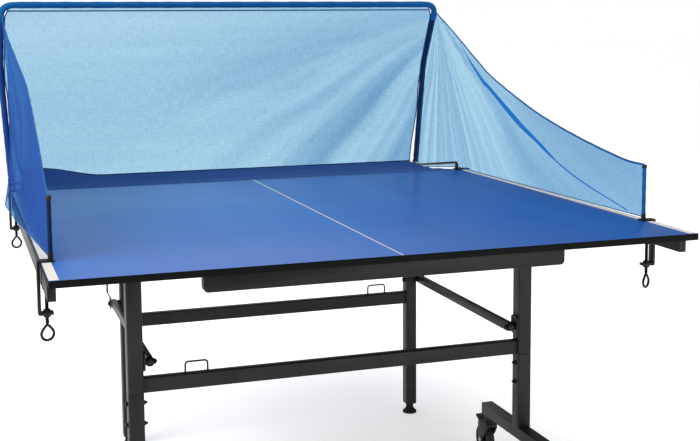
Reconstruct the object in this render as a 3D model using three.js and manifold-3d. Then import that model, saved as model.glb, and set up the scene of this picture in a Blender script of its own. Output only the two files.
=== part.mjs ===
// One self-standing half of a rollaway ping pong table with a ball-catch net clamped to it.
// Units are millimetres. X runs across the table, Y from the net-line edge to the end line, Z up from the floor.
// Positions along Y are written from the net-line edge and moved to the box centre when a piece is added.
import * as THREE from "three";
import { mergeVertices } from "three/addons/utils/BufferGeometryUtils.js";
import ManifoldModule from "manifold-3d";

const kernel = await ManifoldModule();
kernel.setup();

// ---- driving dimensions -----------------------------------------------------------------------

const GAP = 0.3;

const BOARD = { width: 1525, depth: 1370, thickness: 16, top: 760 };
const BOARD_UNDERSIDE = BOARD.top - BOARD.thickness;

const SIDE_RAIL = { outer: 762, width: 18, height: 38, front: 50, back: 1366 };
const END_RAIL = { depth: 20 };
const CROSS_RAIL = { halfLength: 435, front: 62, depth: 25, height: 48, cornerRadius: 11 };

const PIVOT_HEIGHT = 718;
const LINK_HEIGHT = 442;
const PIVOT_PIN_RADIUS = 5;

const POST = { x: 529, y: 462, width: 39, depth: 38, top: 726, seam: 366 };
const BEAM = { width: 35, height: 35, underside: 125, front: 244, back: 680 };
const CROSS_BAR = { depth: 25, height: 38, underside: 366.5 };

const LEG = { x: 456.5, y: 1112, width: 35, depth: 36, top: 726, bottom: 32 };
const STRUT = { inner: 484, thickness: 14, height: 25 };
const STRAP = { lowX: 500, highX: 508.5, thickness: 3.5, width: 24 };

const HANDLE = { span: 57, rise: 28, wire: 2.4 };
const HANDLE_TROLLEY_X = -375;
const HANDLE_LEG_X = 341.5;

const CASTER = { frontY: 262, backY: 662, wheelRadius: 44, wheelWidth: 22, trail: 28 };
const FOOT = { radius: 22.5, stem: 5, bore: 5.6, boreDepth: 48 };

const CLAMP = { frontY: 206, backY: 1350, width: 28, arm: 764.5, armThickness: 7, jaw: 650, screwX: 752 };
const POLE = { x: 741, radius: 4.5, top: 905 };
const NET_TUBE_RADIUS = 8;
const NET_BASE = new THREE.Vector3(739, 1766, 706);
const NET_KNEE = new THREE.Vector3(765, 1744, 1118);
const NET_CORNER = new THREE.Vector3(762, 1618, 1333);
const NET_CORNER_RADIUS = 45;
const SOCKET = { radius: 11.5, bore: 8.3, height: 46 };
const REAR_ARM = { x: 727, radius: 4.5, rise: 20 };
const FABRIC = 2;
const WING_X = 747.5;

const Y_CENTRE = 888.8;

// ---- finishes ---------------------------------------------------------------------------------

const FINISHES = {
  playing_blue: { color: 0x2f66b8, roughness: 0.35, metalness: 0 },
  frame_black: { color: 0x2b2c2e, roughness: 0.5, metalness: 0.4 },
  clamp_black: { color: 0x17181a, roughness: 0.5, metalness: 0.4 },
  zinc: { color: 0xa9adb1, roughness: 0.35, metalness: 0.9 },
  black_plastic: { color: 0x141415, roughness: 0.55, metalness: 0 },
  black_rubber: { color: 0x101010, roughness: 0.85, metalness: 0 },
  net_light: { color: 0x8cc6e6, roughness: 0.9, metalness: 0 },
  net_dark: { color: 0x1e4a94, roughness: 0.9, metalness: 0 },
};

// ---- geometry helpers -------------------------------------------------------------------------

/** Box between two corners. */
function box(x0, x1, y0, y1, z0, z1) {
  const geometry = new THREE.BoxGeometry(Math.abs(x1 - x0), Math.abs(y1 - y0), Math.abs(z1 - z0));
  return geometry.translate((x0 + x1) / 2, (y0 + y1) / 2, (z0 + z1) / 2);
}

/** Rod along X between two stations. */
function rodX(x0, x1, y, z, radius, segments = 20) {
  const rod = new THREE.CylinderGeometry(radius, radius, Math.abs(x1 - x0), segments);
  return rod.rotateZ(Math.PI / 2).translate((x0 + x1) / 2, y, z);
}

/** Rod along Z between two heights. */
function rodZ(x, y, z0, z1, radius, segments = 20) {
  const rod = new THREE.CylinderGeometry(radius, radius, z1 - z0, segments);
  return rod.rotateX(Math.PI / 2).translate(x, y, (z0 + z1) / 2);
}

/** Solid of revolution about Z from [radius, height] pairs, at a place in the plan. */
function turned(profile, x, y, segments = 32) {
  const points = profile.map(([radius, height]) => new THREE.Vector2(radius, height));
  return new THREE.LatheGeometry(points, segments).rotateX(Math.PI / 2).translate(x, y, 0);
}

/** Plate in the YZ plane, given as [y, z] corners, between two stations along X. */
function plateYZ(corners, x0, x1) {
  const shape = new THREE.Shape(corners.map(([y, z]) => new THREE.Vector2(y, z)));
  return extrudeAlongX(shape, x0, x1);
}

/** Extrude a shape drawn in (y, z) along X. */
function extrudeAlongX(shape, x0, x1) {
  const low = Math.min(x0, x1);
  const solid = new THREE.ExtrudeGeometry(shape, {
    depth: Math.abs(x1 - x0),
    bevelEnabled: false,
    curveSegments: 8,
  });
  const turn = new THREE.Matrix4().set(0, 0, 1, low, 1, 0, 0, 0, 0, 1, 0, 0, 0, 0, 0, 1);
  return solid.applyMatrix4(turn);
}

/** Vertical bar with rounded corners, centred at a place in the plan. */
function roundedPost(x, y, width, depth, z0, z1, radius = 3) {
  const w = width / 2;
  const d = depth / 2;
  const shape = new THREE.Shape();
  shape.moveTo(-w + radius, -d);
  shape.lineTo(w - radius, -d);
  shape.absarc(w - radius, -d + radius, radius, -Math.PI / 2, 0);
  shape.lineTo(w, d - radius);
  shape.absarc(w - radius, d - radius, radius, 0, Math.PI / 2);
  shape.lineTo(-w + radius, d);
  shape.absarc(-w + radius, d - radius, radius, Math.PI / 2, Math.PI);
  shape.lineTo(-w, -d + radius);
  shape.absarc(-w + radius, -d + radius, radius, Math.PI, Math.PI * 1.5);
  const bar = new THREE.ExtrudeGeometry(shape, { depth: z1 - z0, bevelEnabled: false, curveSegments: 3 });
  return bar.translate(x, y, z0);
}

/** Path of straight runs with a fillet at each inner corner. */
function filletedPath(points, radius) {
  const path = new THREE.CurvePath();
  let start = points[0];
  for (let i = 1; i < points.length - 1; i += 1) {
    const corner = points[i];
    const before = corner.clone().add(start.clone().sub(corner).setLength(radius));
    const after = corner.clone().add(points[i + 1].clone().sub(corner).setLength(radius));
    path.add(new THREE.LineCurve3(start, before));
    path.add(new THREE.QuadraticBezierCurve3(before, corner, after));
    start = after;
  }
  path.add(new THREE.LineCurve3(start, points[points.length - 1]));
  return path;
}

/** Round rod that follows a path. */
function rodAlong(path, radius, steps, segments = 8) {
  const disc = new THREE.Shape();
  disc.absarc(0, 0, radius, 0, Math.PI * 2);
  return new THREE.ExtrudeGeometry(disc, { steps, extrudePath: path, curveSegments: segments });
}

/** Straight round rod between two points. */
function rodBetween(from, to, radius, segments = 8) {
  return rodAlong(new THREE.LineCurve3(from, to), radius, 1, segments);
}

/** Turn and move a solid built on the Z axis so that Z points from one point to another. */
function aimed(geometry, from, to) {
  const heading = to.clone().sub(from).normalize();
  const turn = new THREE.Quaternion().setFromUnitVectors(new THREE.Vector3(0, 0, 1), heading);
  return geometry.applyQuaternion(turn).translate(from.x, from.y, from.z);
}

/** Solid of the modelling kernel made from a geometry. */
function toKernel(geometry) {
  const bare = new THREE.BufferGeometry();
  bare.setAttribute("position", geometry.getAttribute("position").clone());
  if (geometry.index) {
    bare.setIndex(geometry.index.clone());
  }
  const welded = mergeVertices(bare, 1e-4);
  const mesh = new kernel.Mesh({
    numProp: 3,
    vertProperties: new Float32Array(welded.getAttribute("position").array),
    triVerts: new Uint32Array(welded.index.array),
  });
  mesh.merge();
  return new kernel.Manifold(mesh);
}

/** Geometry made from a solid of the modelling kernel. */
function fromKernel(solid) {
  const mesh = solid.getMesh();
  const geometry = new THREE.BufferGeometry();
  const positions = new Float32Array(mesh.vertProperties);
  geometry.setAttribute("position", new THREE.BufferAttribute(positions, 3));
  geometry.setIndex(new THREE.BufferAttribute(new Uint32Array(mesh.triVerts), 1));
  geometry.computeVertexNormals();
  return geometry;
}

/** Join solids into one. */
function joined(...geometries) {
  return fromKernel(geometries.map(toKernel).reduce((all, next) => all.add(next)));
}

/** Cut tools out of a solid. */
function cut(geometry, ...tools) {
  return fromKernel(tools.map(toKernel).reduce((rest, tool) => rest.subtract(tool), toKernel(geometry)));
}

const group = new THREE.Group();
group.name = "ping_pong_table";

/** Add a named piece to the assembly. */
function add(name, geometry, finish) {
  const mesh = new THREE.Mesh(
    geometry.translate(0, -Y_CENTRE, 0),
    new THREE.MeshStandardMaterial(FINISHES[finish]),
  );
  mesh.name = name;
  group.add(mesh);
}

const SIDES = [
  ["left", -1],
  ["right", 1],
];

// ---- tabletop ---------------------------------------------------------------------------------

/** Board with its faces divided in three each way, so that the middle of its top lies clear of the clamps. */
function playingBoard() {
  const slab = new THREE.BoxGeometry(BOARD.width, BOARD.depth, BOARD.thickness, 3, 3, 1);
  return slab.translate(0, BOARD.depth / 2, BOARD.top - BOARD.thickness / 2);
}
add("board", playingBoard(), "playing_blue");

const railTop = BOARD_UNDERSIDE - GAP;
for (const [label, side] of SIDES) {
  const outer = side * SIDE_RAIL.outer;
  const inner = side * (SIDE_RAIL.outer - SIDE_RAIL.width);
  add(
    `side_rail_${label}`,
    box(outer, inner, SIDE_RAIL.front, SIDE_RAIL.back, railTop - SIDE_RAIL.height, railTop),
    "frame_black",
  );
}
const endRailHalf = SIDE_RAIL.outer - SIDE_RAIL.width - GAP;
add(
  "end_rail",
  box(
    -endRailHalf,
    endRailHalf,
    SIDE_RAIL.back - END_RAIL.depth,
    SIDE_RAIL.back,
    railTop - SIDE_RAIL.height,
    railTop,
  ),
  "frame_black",
);

/** Stiffener under the net-line edge with rounded lower corners. */
function crossRail() {
  const { halfLength, height, cornerRadius: r, depth, front } = CROSS_RAIL;
  const shape = new THREE.Shape();
  shape.moveTo(-halfLength, 0);
  shape.lineTo(-halfLength, -height + r);
  shape.absarc(-halfLength + r, -height + r, r, Math.PI, Math.PI * 1.5);
  shape.lineTo(halfLength - r, -height);
  shape.absarc(halfLength - r, -height + r, r, -Math.PI / 2, 0);
  shape.lineTo(halfLength, 0);
  const bar = new THREE.ExtrudeGeometry(shape, { depth, bevelEnabled: false, curveSegments: 6 });
  return bar.rotateX(Math.PI / 2).translate(0, front + depth, railTop);
}
add("front_cross_rail", crossRail(), "frame_black");

/** Bracket under the board with a cheek on each side of a post or leg and a round eye at the pivot. */
function hingeBracket(side, y, inner, outer) {
  const plate = 3.5;
  const cheek = 3;
  const reach = 13;
  const half = 30;
  const shape = new THREE.Shape();
  shape.moveTo(y - half, railTop);
  shape.lineTo(y - half, railTop - plate);
  shape.lineTo(y - reach, PIVOT_HEIGHT);
  shape.absarc(y, PIVOT_HEIGHT, reach, Math.PI, Math.PI * 2);
  shape.lineTo(y + half, railTop - plate);
  shape.lineTo(y + half, railTop);
  const hole = rodX(side * (inner - 10), side * (outer + 10), y, PIVOT_HEIGHT, PIVOT_PIN_RADIUS + GAP);
  const bracket = joined(
    extrudeAlongX(shape, side * inner, side * (inner + cheek)),
    extrudeAlongX(shape, side * (outer - cheek), side * outer),
    box(side * inner, side * outer, y - half, y + half, railTop - plate, railTop),
  );
  return cut(bracket, hole);
}
for (const [label, side] of SIDES) {
  add(`post_hinge_${label}`, hingeBracket(side, POST.y, 504.5, 553.5), "frame_black");
  add(`leg_hinge_${label}`, hingeBracket(side, LEG.y, 433, 480), "frame_black");
}

// ---- trolley ----------------------------------------------------------------------------------

for (const [label, side] of SIDES) {
  const x = side * POST.x;
  add(
    `post_upper_${label}`,
    joined(
      roundedPost(x, POST.y, POST.width, POST.depth, POST.seam + GAP, POST.top),
      rodX(side * 502, side * 556, POST.y, PIVOT_HEIGHT, PIVOT_PIN_RADIUS),
      rodX(side * 501, side * 504.2, POST.y, PIVOT_HEIGHT, 8),
      rodX(side * 553.8, side * 560, POST.y, PIVOT_HEIGHT, 9, 6),
    ),
    "frame_black",
  );
  add(
    `foot_beam_${label}`,
    joined(
      roundedPost(x, POST.y, POST.width, POST.depth, BEAM.underside + 20, POST.seam),
      box(
        x - BEAM.width / 2,
        x + BEAM.width / 2,
        BEAM.front,
        BEAM.back,
        BEAM.underside,
        BEAM.underside + BEAM.height,
      ),
    ),
    "frame_black",
  );
  add(
    `strut_bracket_${label}`,
    joined(
      box(side * 503.5, side * 509.2, POST.y - 18, POST.y + 18, LINK_HEIGHT - 20, LINK_HEIGHT + 30),
      rodX(side * 478, side * 505, POST.y, LINK_HEIGHT, PIVOT_PIN_RADIUS),
      rodX(side * 498.3, side * 504, POST.y, LINK_HEIGHT, 9),
      rodX(side * 476, side * 483.7, POST.y, LINK_HEIGHT, 9, 6),
    ),
    "clamp_black",
  );
}

const barTop = CROSS_BAR.underside + CROSS_BAR.height;
const trolleyBarHalf = POST.x - POST.width / 2 - GAP;
add(
  "trolley_bar",
  box(
    -trolleyBarHalf,
    trolleyBarHalf,
    POST.y - CROSS_BAR.depth / 2,
    POST.y + CROSS_BAR.depth / 2,
    CROSS_BAR.underside,
    barTop,
  ),
  "frame_black",
);

/** Bent wire grip standing on a cross bar. */
function wireHandle(x, y) {
  const low = barTop + GAP;
  const high = barTop + HANDLE.rise;
  const half = HANDLE.span / 2;
  const corners = [
    new THREE.Vector3(x - half, y, low),
    new THREE.Vector3(x - half, y, high),
    new THREE.Vector3(x + half, y, high),
    new THREE.Vector3(x + half, y, low),
  ];
  return rodAlong(filletedPath(corners, 9), HANDLE.wire, 28, 5);
}
add("trolley_handle", wireHandle(HANDLE_TROLLEY_X, POST.y), "clamp_black");

// ---- casters ----------------------------------------------------------------------------------

/** Swivel housing with two cheeks, the axle and the ears of the brake pedal. */
function casterFork(x, y) {
  const axle = y + CASTER.trail;
  const top = BEAM.underside - GAP;
  const cheek = [
    [y - 17, 104],
    [y - 17, 92],
    [axle - 11, CASTER.wheelRadius],
    [axle - 6, CASTER.wheelRadius - 10],
    [axle + 6, CASTER.wheelRadius - 10],
    [axle + 11, CASTER.wheelRadius],
    [axle + 16, 92],
    [axle + 16, 104],
  ];
  const swivel = [
    [0, 103],
    [17, 103],
    [17, 109],
    [13, 112],
    [13, 116],
    [17, 118],
    [17, top],
    [0, top],
  ];
  return joined(
    turned(swivel, x, y, 24),
    box(x - 16, x + 16, y - 17, axle + 4, 92, 104),
    plateYZ(cheek, x - 17, x - 13.5),
    plateYZ(cheek, x + 13.5, x + 17),
    rodX(x - 20, x + 20, axle, CASTER.wheelRadius, 4),
    rodX(x - 17, x + 17, axle + 11, 98, 2, 12),
  );
}

/** Wheel with a hub, a web and a rounded tread. */
function casterWheel(x, y) {
  const r = CASTER.wheelRadius;
  const w = CASTER.wheelWidth / 2;
  const profile = [
    [4.4, -12.5],
    [10, -12.5],
    [10, -6],
    [28, -6],
    [30, -w + 1],
    [r - 4, -w],
    [r, -w + 4],
    [r, w - 4],
    [r - 4, w],
    [30, w - 1],
    [28, 6],
    [10, 6],
    [10, 12.5],
    [4.4, 12.5],
    [4.4, -12.5],
  ];
  const points = profile.map(([radius, height]) => new THREE.Vector2(radius, height));
  const wheel = new THREE.LatheGeometry(points, 24).rotateZ(-Math.PI / 2);
  return wheel.translate(x, y + CASTER.trail, r);
}

/** Brake pedal that tips on the pin between the fork's ears. */
function brakePedal(x, y) {
  const pin = y + CASTER.trail + 11;
  const lever = [
    [pin - 3, 95.5],
    [pin + 4, 95],
    [pin + 24, 101],
    [pin + 30, 106],
    [pin + 29, 109],
    [pin + 2, 102],
    [pin - 3, 101],
  ];
  return cut(
    joined(plateYZ(lever, x - 12.8, x + 12.8), rodX(x - 12.8, x + 12.8, pin, 98, 4.6, 20)),
    rodX(x - 20, x + 20, pin, 98, 2.3, 16),
  );
}

for (const [label, side] of SIDES) {
  for (const [end, y] of [
    ["front", CASTER.frontY],
    ["back", CASTER.backY],
  ]) {
    const x = side * POST.x;
    add(`caster_fork_${end}_${label}`, casterFork(x, y), "black_plastic");
    add(`caster_wheel_${end}_${label}`, casterWheel(x, y), "black_rubber");
    add(`caster_pedal_${end}_${label}`, brakePedal(x, y), "black_plastic");
  }
}

// ---- folding legs -----------------------------------------------------------------------------

/** Leg with through holes for its two bolts and a bore for the levelling foot. */
function rearLeg(side) {
  const x = side * LEG.x;
  return cut(
    roundedPost(x, LEG.y, LEG.width, LEG.depth, LEG.bottom, LEG.top),
    rodX(side * 430, side * 480, LEG.y, PIVOT_HEIGHT, PIVOT_PIN_RADIUS + GAP),
    rodX(side * 430, side * 480, LEG.y, LINK_HEIGHT, PIVOT_PIN_RADIUS + GAP),
    rodZ(x, LEG.y, LEG.bottom - 5, LEG.bottom + FOOT.boreDepth, FOOT.bore),
  );
}

/** Joggled strap outside the strut, with the hinge bolt at its top and the strut bolt at its foot. */
function legStrap(side) {
  const { lowX, highX, thickness: t, width } = STRAP;
  const half = width / 2;
  const jogLow = LINK_HEIGHT + 20;
  const jogHigh = LINK_HEIGHT + 34;
  const outline = new THREE.Shape([
    new THREE.Vector2(lowX, LINK_HEIGHT - 14),
    new THREE.Vector2(lowX + t, LINK_HEIGHT - 14),
    new THREE.Vector2(lowX + t, jogLow),
    new THREE.Vector2(highX + t, jogHigh),
    new THREE.Vector2(highX + t, PIVOT_HEIGHT + 12),
    new THREE.Vector2(highX, PIVOT_HEIGHT + 12),
    new THREE.Vector2(highX, jogHigh),
    new THREE.Vector2(lowX, jogLow),
  ]);
  const blade = new THREE.ExtrudeGeometry(outline, { depth: width, bevelEnabled: false });
  blade.rotateX(Math.PI / 2).translate(0, LEG.y + half, 0);
  const strap = joined(
    blade,
    rodX(434, lowX + 1, LEG.y, LINK_HEIGHT, PIVOT_PIN_RADIUS),
    rodX(432, 438.7, LEG.y, LINK_HEIGHT, 8.5, 6),
    rodX(474.3, 483.7, LEG.y, LINK_HEIGHT, 9),
    rodX(lowX + t - 1, lowX + t + 4, LEG.y, LINK_HEIGHT, 8.5, 6),
    rodX(426, highX + 1, LEG.y, PIVOT_HEIGHT, PIVOT_PIN_RADIUS),
    rodX(425, 432.7, LEG.y, PIVOT_HEIGHT, 9, 6),
    rodX(480.3, highX + 1, LEG.y, PIVOT_HEIGHT, 8),
    rodX(highX + t - 1, highX + t + 5, LEG.y, PIVOT_HEIGHT, 9, 6),
  );
  return side > 0 ? strap : mirroredX(strap);
}

/** Mirror image across the table's centre plane, with the faces turned to point outward again. */
function mirroredX(geometry) {
  const mirror = new THREE.Matrix4().makeScale(-1, 1, 1);
  const flipped = geometry.clone().applyMatrix4(mirror);
  const index = flipped.index.array;
  for (let i = 0; i < index.length; i += 3) {
    const held = index[i];
    index[i] = index[i + 1];
    index[i + 1] = held;
  }
  flipped.computeVertexNormals();
  return flipped;
}

/** Rubber levelling foot on a threaded stem. */
function levellingFoot(side) {
  const neck = LEG.bottom - 2;
  const profile = [
    [0, 0],
    [FOOT.radius - 1, 0],
    [FOOT.radius, 2],
    [FOOT.radius, 5],
    [19.5, 9],
    [14, 15],
    [12, 20],
    [12, neck],
    [FOOT.stem, neck],
    [FOOT.stem, neck + 38],
    [0, neck + 38],
  ];
  return turned(profile, side * LEG.x, LEG.y);
}

for (const [label, side] of SIDES) {
  add(`rear_leg_${label}`, rearLeg(side), "frame_black");
  add(`leg_strap_${label}`, legStrap(side), "clamp_black");
  add(`levelling_foot_${label}`, levellingFoot(side), "black_rubber");
}
const legBarHalf = LEG.x - LEG.width / 2 - GAP;
add(
  "leg_bar",
  box(
    -legBarHalf,
    legBarHalf,
    LEG.y - CROSS_BAR.depth / 2,
    LEG.y + CROSS_BAR.depth / 2,
    CROSS_BAR.underside,
    barTop,
  ),
  "frame_black",
);
add("leg_handle", wireHandle(HANDLE_LEG_X, LEG.y), "clamp_black");

/** Flat strut from a post to a leg with rounded ends and a hole at each pivot. */
function strut(side) {
  const r = STRUT.height / 2;
  const shape = new THREE.Shape();
  shape.moveTo(POST.y, LINK_HEIGHT - r);
  shape.lineTo(LEG.y, LINK_HEIGHT - r);
  shape.absarc(LEG.y, LINK_HEIGHT, r, -Math.PI / 2, Math.PI / 2);
  shape.lineTo(POST.y, LINK_HEIGHT + r);
  shape.absarc(POST.y, LINK_HEIGHT, r, Math.PI / 2, Math.PI * 1.5);
  const inner = side * STRUT.inner;
  const outer = side * (STRUT.inner + STRUT.thickness);
  return cut(
    extrudeAlongX(shape, inner, outer),
    rodX(side * 470, side * 510, POST.y, LINK_HEIGHT, PIVOT_PIN_RADIUS + GAP),
    rodX(side * 470, side * 510, LEG.y, LINK_HEIGHT, PIVOT_PIN_RADIUS + GAP),
  );
}
for (const [label, side] of SIDES) {
  add(`strut_${label}`, strut(side), "frame_black");
}

// ---- ball-catch net ---------------------------------------------------------------------------

/** C-shaped clamp over the side edge with a socket on its plate and a tapped boss in its jaw. */
function edgeClamp(side, y, socketX, plateInner) {
  const w = CLAMP.width / 2;
  const plateLow = BOARD.top + 0.2;
  const plateHigh = plateLow + 4;
  const outer = CLAMP.arm + CLAMP.armThickness;
  const body = joined(
    box(side * plateInner, side * outer, y - w, y + w, plateLow, plateHigh),
    box(side * CLAMP.arm, side * outer, y - w + 4, y + w - 4, CLAMP.jaw - 7, plateHigh),
    box(side * (CLAMP.screwX - 14), side * outer, y - w + 4, y + w - 4, CLAMP.jaw - 7, CLAMP.jaw),
    rodZ(side * CLAMP.screwX, y, CLAMP.jaw - 12, CLAMP.jaw + 5, 8),
    rodZ(side * socketX, y, plateHigh - 1, plateHigh + 14, 5.9),
  );
  return cut(
    body,
    rodZ(side * CLAMP.screwX, y, CLAMP.jaw - 20, CLAMP.jaw + 12, 4.6),
    rodZ(side * socketX, y, plateHigh + 0.2, plateHigh + 20, POLE.radius + 0.2),
  );
}

/** Clamping screw with a pressure pad on top and a bent finger eye below. */
function clampScrew(side, y, heading) {
  const padTop = railTop - SIDE_RAIL.height - GAP;
  const eyeZ = 600;
  const eye = new THREE.TorusGeometry(14, 3.2, 8, 24).rotateX(Math.PI / 2).rotateZ(heading);
  const x = side * CLAMP.screwX;
  return joined(
    rodZ(x, y, 611, padTop - 2, 4.2, 16),
    turned([[0, padTop - 7], [6, padTop - 7], [9.5, padTop - 4], [9.5, padTop], [0, padTop]], x, y, 20),
    eye.translate(x, y, eyeZ),
  );
}

const EYE_HEADINGS = { front_left: 0.25, front_right: 0.5, back_left: 0.2, back_right: -0.4 };
for (const [label, side] of SIDES) {
  for (const [end, y, socketX, plateInner] of [
    ["front", CLAMP.frontY, POLE.x, 733],
    ["back", CLAMP.backY, REAR_ARM.x, 718],
  ]) {
    add(`net_clamp_${end}_${label}`, edgeClamp(side, y, socketX, plateInner), "clamp_black");
    add(`clamp_screw_${end}_${label}`, clampScrew(side, y, EYE_HEADINGS[`${end}_${label}`]), "zinc");
  }
  const poleFoot = BOARD.top + 4.7;
  add(
    `net_pole_${label}`,
    turned(
      [
        [0, poleFoot],
        [POLE.radius, poleFoot],
        [POLE.radius, POLE.top - 9],
        [6.3, POLE.top - 9],
        [6.3, POLE.top - 2],
        [4.5, POLE.top],
        [0, POLE.top],
      ],
      side * POLE.x,
      CLAMP.frontY,
      20,
    ),
    "black_plastic",
  );
}

/** The same point on the left or right side of the table. */
function onSide(point, side) {
  return new THREE.Vector3(side * point.x, point.y, point.z);
}

/** Point a given distance from one point towards another. */
function towards(from, to, distance) {
  return from.clone().add(to.clone().sub(from).setLength(distance));
}

/** Rear arm: a bent rod from the clamp socket to a tilted sleeve that holds the upright. */
function rearArm(side) {
  const base = onSide(NET_BASE, side);
  const knee = onSide(NET_KNEE, side);
  const foot = new THREE.Vector3(side * REAR_ARM.x, CLAMP.backY, BOARD.top + 4.7);
  const shoulder = foot.clone().setZ(foot.z + REAR_ARM.rise);
  const sleeveCentre = towards(base, knee, SOCKET.height / 2);
  const sleeve = new THREE.CylinderGeometry(SOCKET.radius, SOCKET.radius, SOCKET.height, 24);
  sleeve.rotateX(Math.PI / 2).translate(0, 0, SOCKET.height / 2);
  const bore = new THREE.CylinderGeometry(SOCKET.bore, SOCKET.bore, SOCKET.height + 20, 24);
  bore.rotateX(Math.PI / 2).translate(0, 0, SOCKET.height / 2);
  const elbow = new THREE.SphereGeometry(REAR_ARM.radius, 16, 12);
  elbow.translate(shoulder.x, shoulder.y, shoulder.z);
  const arm = joined(
    rodZ(foot.x, foot.y, foot.z, shoulder.z, REAR_ARM.radius),
    elbow,
    rodBetween(shoulder, sleeveCentre, REAR_ARM.radius),
    aimed(sleeve, base, knee),
  );
  return cut(arm, aimed(bore, base, knee));
}

const JOINT_ABOVE_KNEE = 70;
for (const [label, side] of SIDES) {
  const base = onSide(NET_BASE, side);
  const knee = onSide(NET_KNEE, side);
  const corner = onSide(NET_CORNER, side);
  add(`net_arm_${label}`, rearArm(side), "clamp_black");
  const lowerEnd = towards(knee, corner, JOINT_ABOVE_KNEE - GAP);
  add(
    `net_upright_lower_${label}`,
    rodAlong(filletedPath([base, knee, lowerEnd], 40), NET_TUBE_RADIUS, 24),
    "clamp_black",
  );
  const upperStart = towards(knee, corner, JOINT_ABOVE_KNEE);
  const topStart = corner.clone().setX(side * (NET_CORNER.x - NET_CORNER_RADIUS - 15));
  add(
    `net_upright_upper_${label}`,
    rodAlong(filletedPath([upperStart, corner, topStart], NET_CORNER_RADIUS), NET_TUBE_RADIUS, 22),
    "clamp_black",
  );
}
const topHalf = NET_CORNER.x - NET_CORNER_RADIUS - 15 - GAP;
add(
  "net_top_tube",
  rodBetween(
    new THREE.Vector3(-topHalf, NET_CORNER.y, NET_CORNER.z),
    new THREE.Vector3(topHalf, NET_CORNER.y, NET_CORNER.z),
    NET_TUBE_RADIUS,
  ),
  "clamp_black",
);

const BACK_HALF = 722;
add(
  "net_back_panel",
  plateYZ(
    [
      [1764, 752],
      [1742, NET_KNEE.z],
      [1624, 1319],
      [1624 + FABRIC, 1320],
      [1742 + FABRIC, NET_KNEE.z + 0.5],
      [1764 + FABRIC, 752],
    ],
    -BACK_HALF,
    BACK_HALF,
  ),
  "net_light",
);
add(
  "net_floor_panel",
  plateYZ(
    [
      [1349, BOARD.top + 0.3],
      [1371, BOARD.top + 0.3],
      [1761, 743],
      [1761, 743 + FABRIC],
      [1371, BOARD.top + 0.3 + FABRIC],
      [1349, BOARD.top + 0.3 + FABRIC],
    ],
    -714,
    714,
  ),
  "net_dark",
);

const WING_OUTLINE = [
  [199, 766],
  [1372, 766],
  [1500, 752],
  [1751, 722],
  [1751, 800],
  [1728, NET_KNEE.z],
  [1612, 1302],
  [1591, 1294],
  [1400, 1214],
  [1224, 1142],
  [1094, 1091],
  [960, 1048],
  [824, 1008],
  [569, 951],
  [316, 911],
  [212, 903],
  [199, 903],
];
for (const [label, side] of SIDES) {
  const finish = side < 0 ? "net_dark" : "net_light";
  add(`net_wing_${label}`, plateYZ(WING_OUTLINE, side * WING_X, side * (WING_X + FABRIC)), finish);
}

export default group;
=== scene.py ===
"""One self-standing half of a rollaway ping pong table with a ball-catch net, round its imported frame."""

import logging
import math
from dataclasses import dataclass
from enum import Enum
from typing import Any, Callable, Sequence

import bmesh
import bpy
from mathutils import Matrix, Vector, noise


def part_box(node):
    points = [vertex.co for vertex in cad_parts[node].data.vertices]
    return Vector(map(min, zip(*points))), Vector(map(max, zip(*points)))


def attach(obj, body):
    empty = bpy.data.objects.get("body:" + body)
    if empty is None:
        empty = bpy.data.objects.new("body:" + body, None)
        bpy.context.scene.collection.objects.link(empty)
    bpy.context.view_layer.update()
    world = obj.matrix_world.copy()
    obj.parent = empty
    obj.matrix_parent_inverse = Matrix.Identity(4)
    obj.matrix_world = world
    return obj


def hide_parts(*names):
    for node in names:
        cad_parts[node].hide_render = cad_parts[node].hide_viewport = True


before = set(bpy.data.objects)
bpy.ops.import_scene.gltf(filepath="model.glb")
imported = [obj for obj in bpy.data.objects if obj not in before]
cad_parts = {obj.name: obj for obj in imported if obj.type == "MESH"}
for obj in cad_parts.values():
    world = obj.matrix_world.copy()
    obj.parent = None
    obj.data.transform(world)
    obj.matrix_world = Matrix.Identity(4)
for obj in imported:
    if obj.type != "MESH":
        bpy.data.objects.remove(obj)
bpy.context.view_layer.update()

LOG = logging.getLogger("ping_pong_table")
MM = 0.001
X_AXIS = Vector((1.0, 0.0, 0.0))
Y_AXIS = Vector((0.0, 1.0, 0.0))
Z_AXIS = Vector((0.0, 0.0, 1.0))
NET_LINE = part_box("board")[0].y

Mesh = bmesh.types.BMesh
Place = tuple[float, float]
Profile = Sequence[Place]
Surface = Callable[[float, float], Vector]
Inputs = dict[str | int, Any]

# Heights in millimetres that the tabletop, trolley, legs and struts share.
PIVOT_HEIGHT = 718.0
LINK_HEIGHT = 442.0
PIN_RADIUS = 4.8
# A wave texture of scale one repeats after this many metres.
WAVE_PITCH = 0.314
# Cloth is shaded as one curve however sharply it folds.
ALL_SMOOTH = 180.0


class Side(Enum):
    """Which half of the table a piece is on, seen from the net line."""

    LEFT = -1
    RIGHT = 1

    @property
    def label(self) -> str:
        """Ending of the names on this side."""
        return self.name.lower()


class End(Enum):
    """Which end of the side edge or foot beam a piece is on."""

    FRONT = "front"
    BACK = "back"


# ---- places -----------------------------------------------------------------------------------


def at(x: float, y: float, z: float) -> Vector:
    """Point in the frame for millimetres across, back from the net line and up from the floor."""
    return Vector((x * MM, NET_LINE + y * MM, z * MM))


def middle(node: str) -> tuple[float, float, float]:
    """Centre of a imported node's box, in the table's millimetres.

    Args:
        node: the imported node.

    Returns:
        Millimetres across, back from the net line and up from the floor.
    """
    low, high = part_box(node)
    mid = (low + high) / 2
    return mid.x / MM, (mid.y - NET_LINE) / MM, mid.z / MM


def smoothstep(low: float, high: float, value: float) -> float:
    """Zero below low, one above high and a smooth rise between."""
    t = min(1.0, max(0.0, (value - low) / (high - low)))
    return t * t * (3.0 - 2.0 * t)


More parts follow.
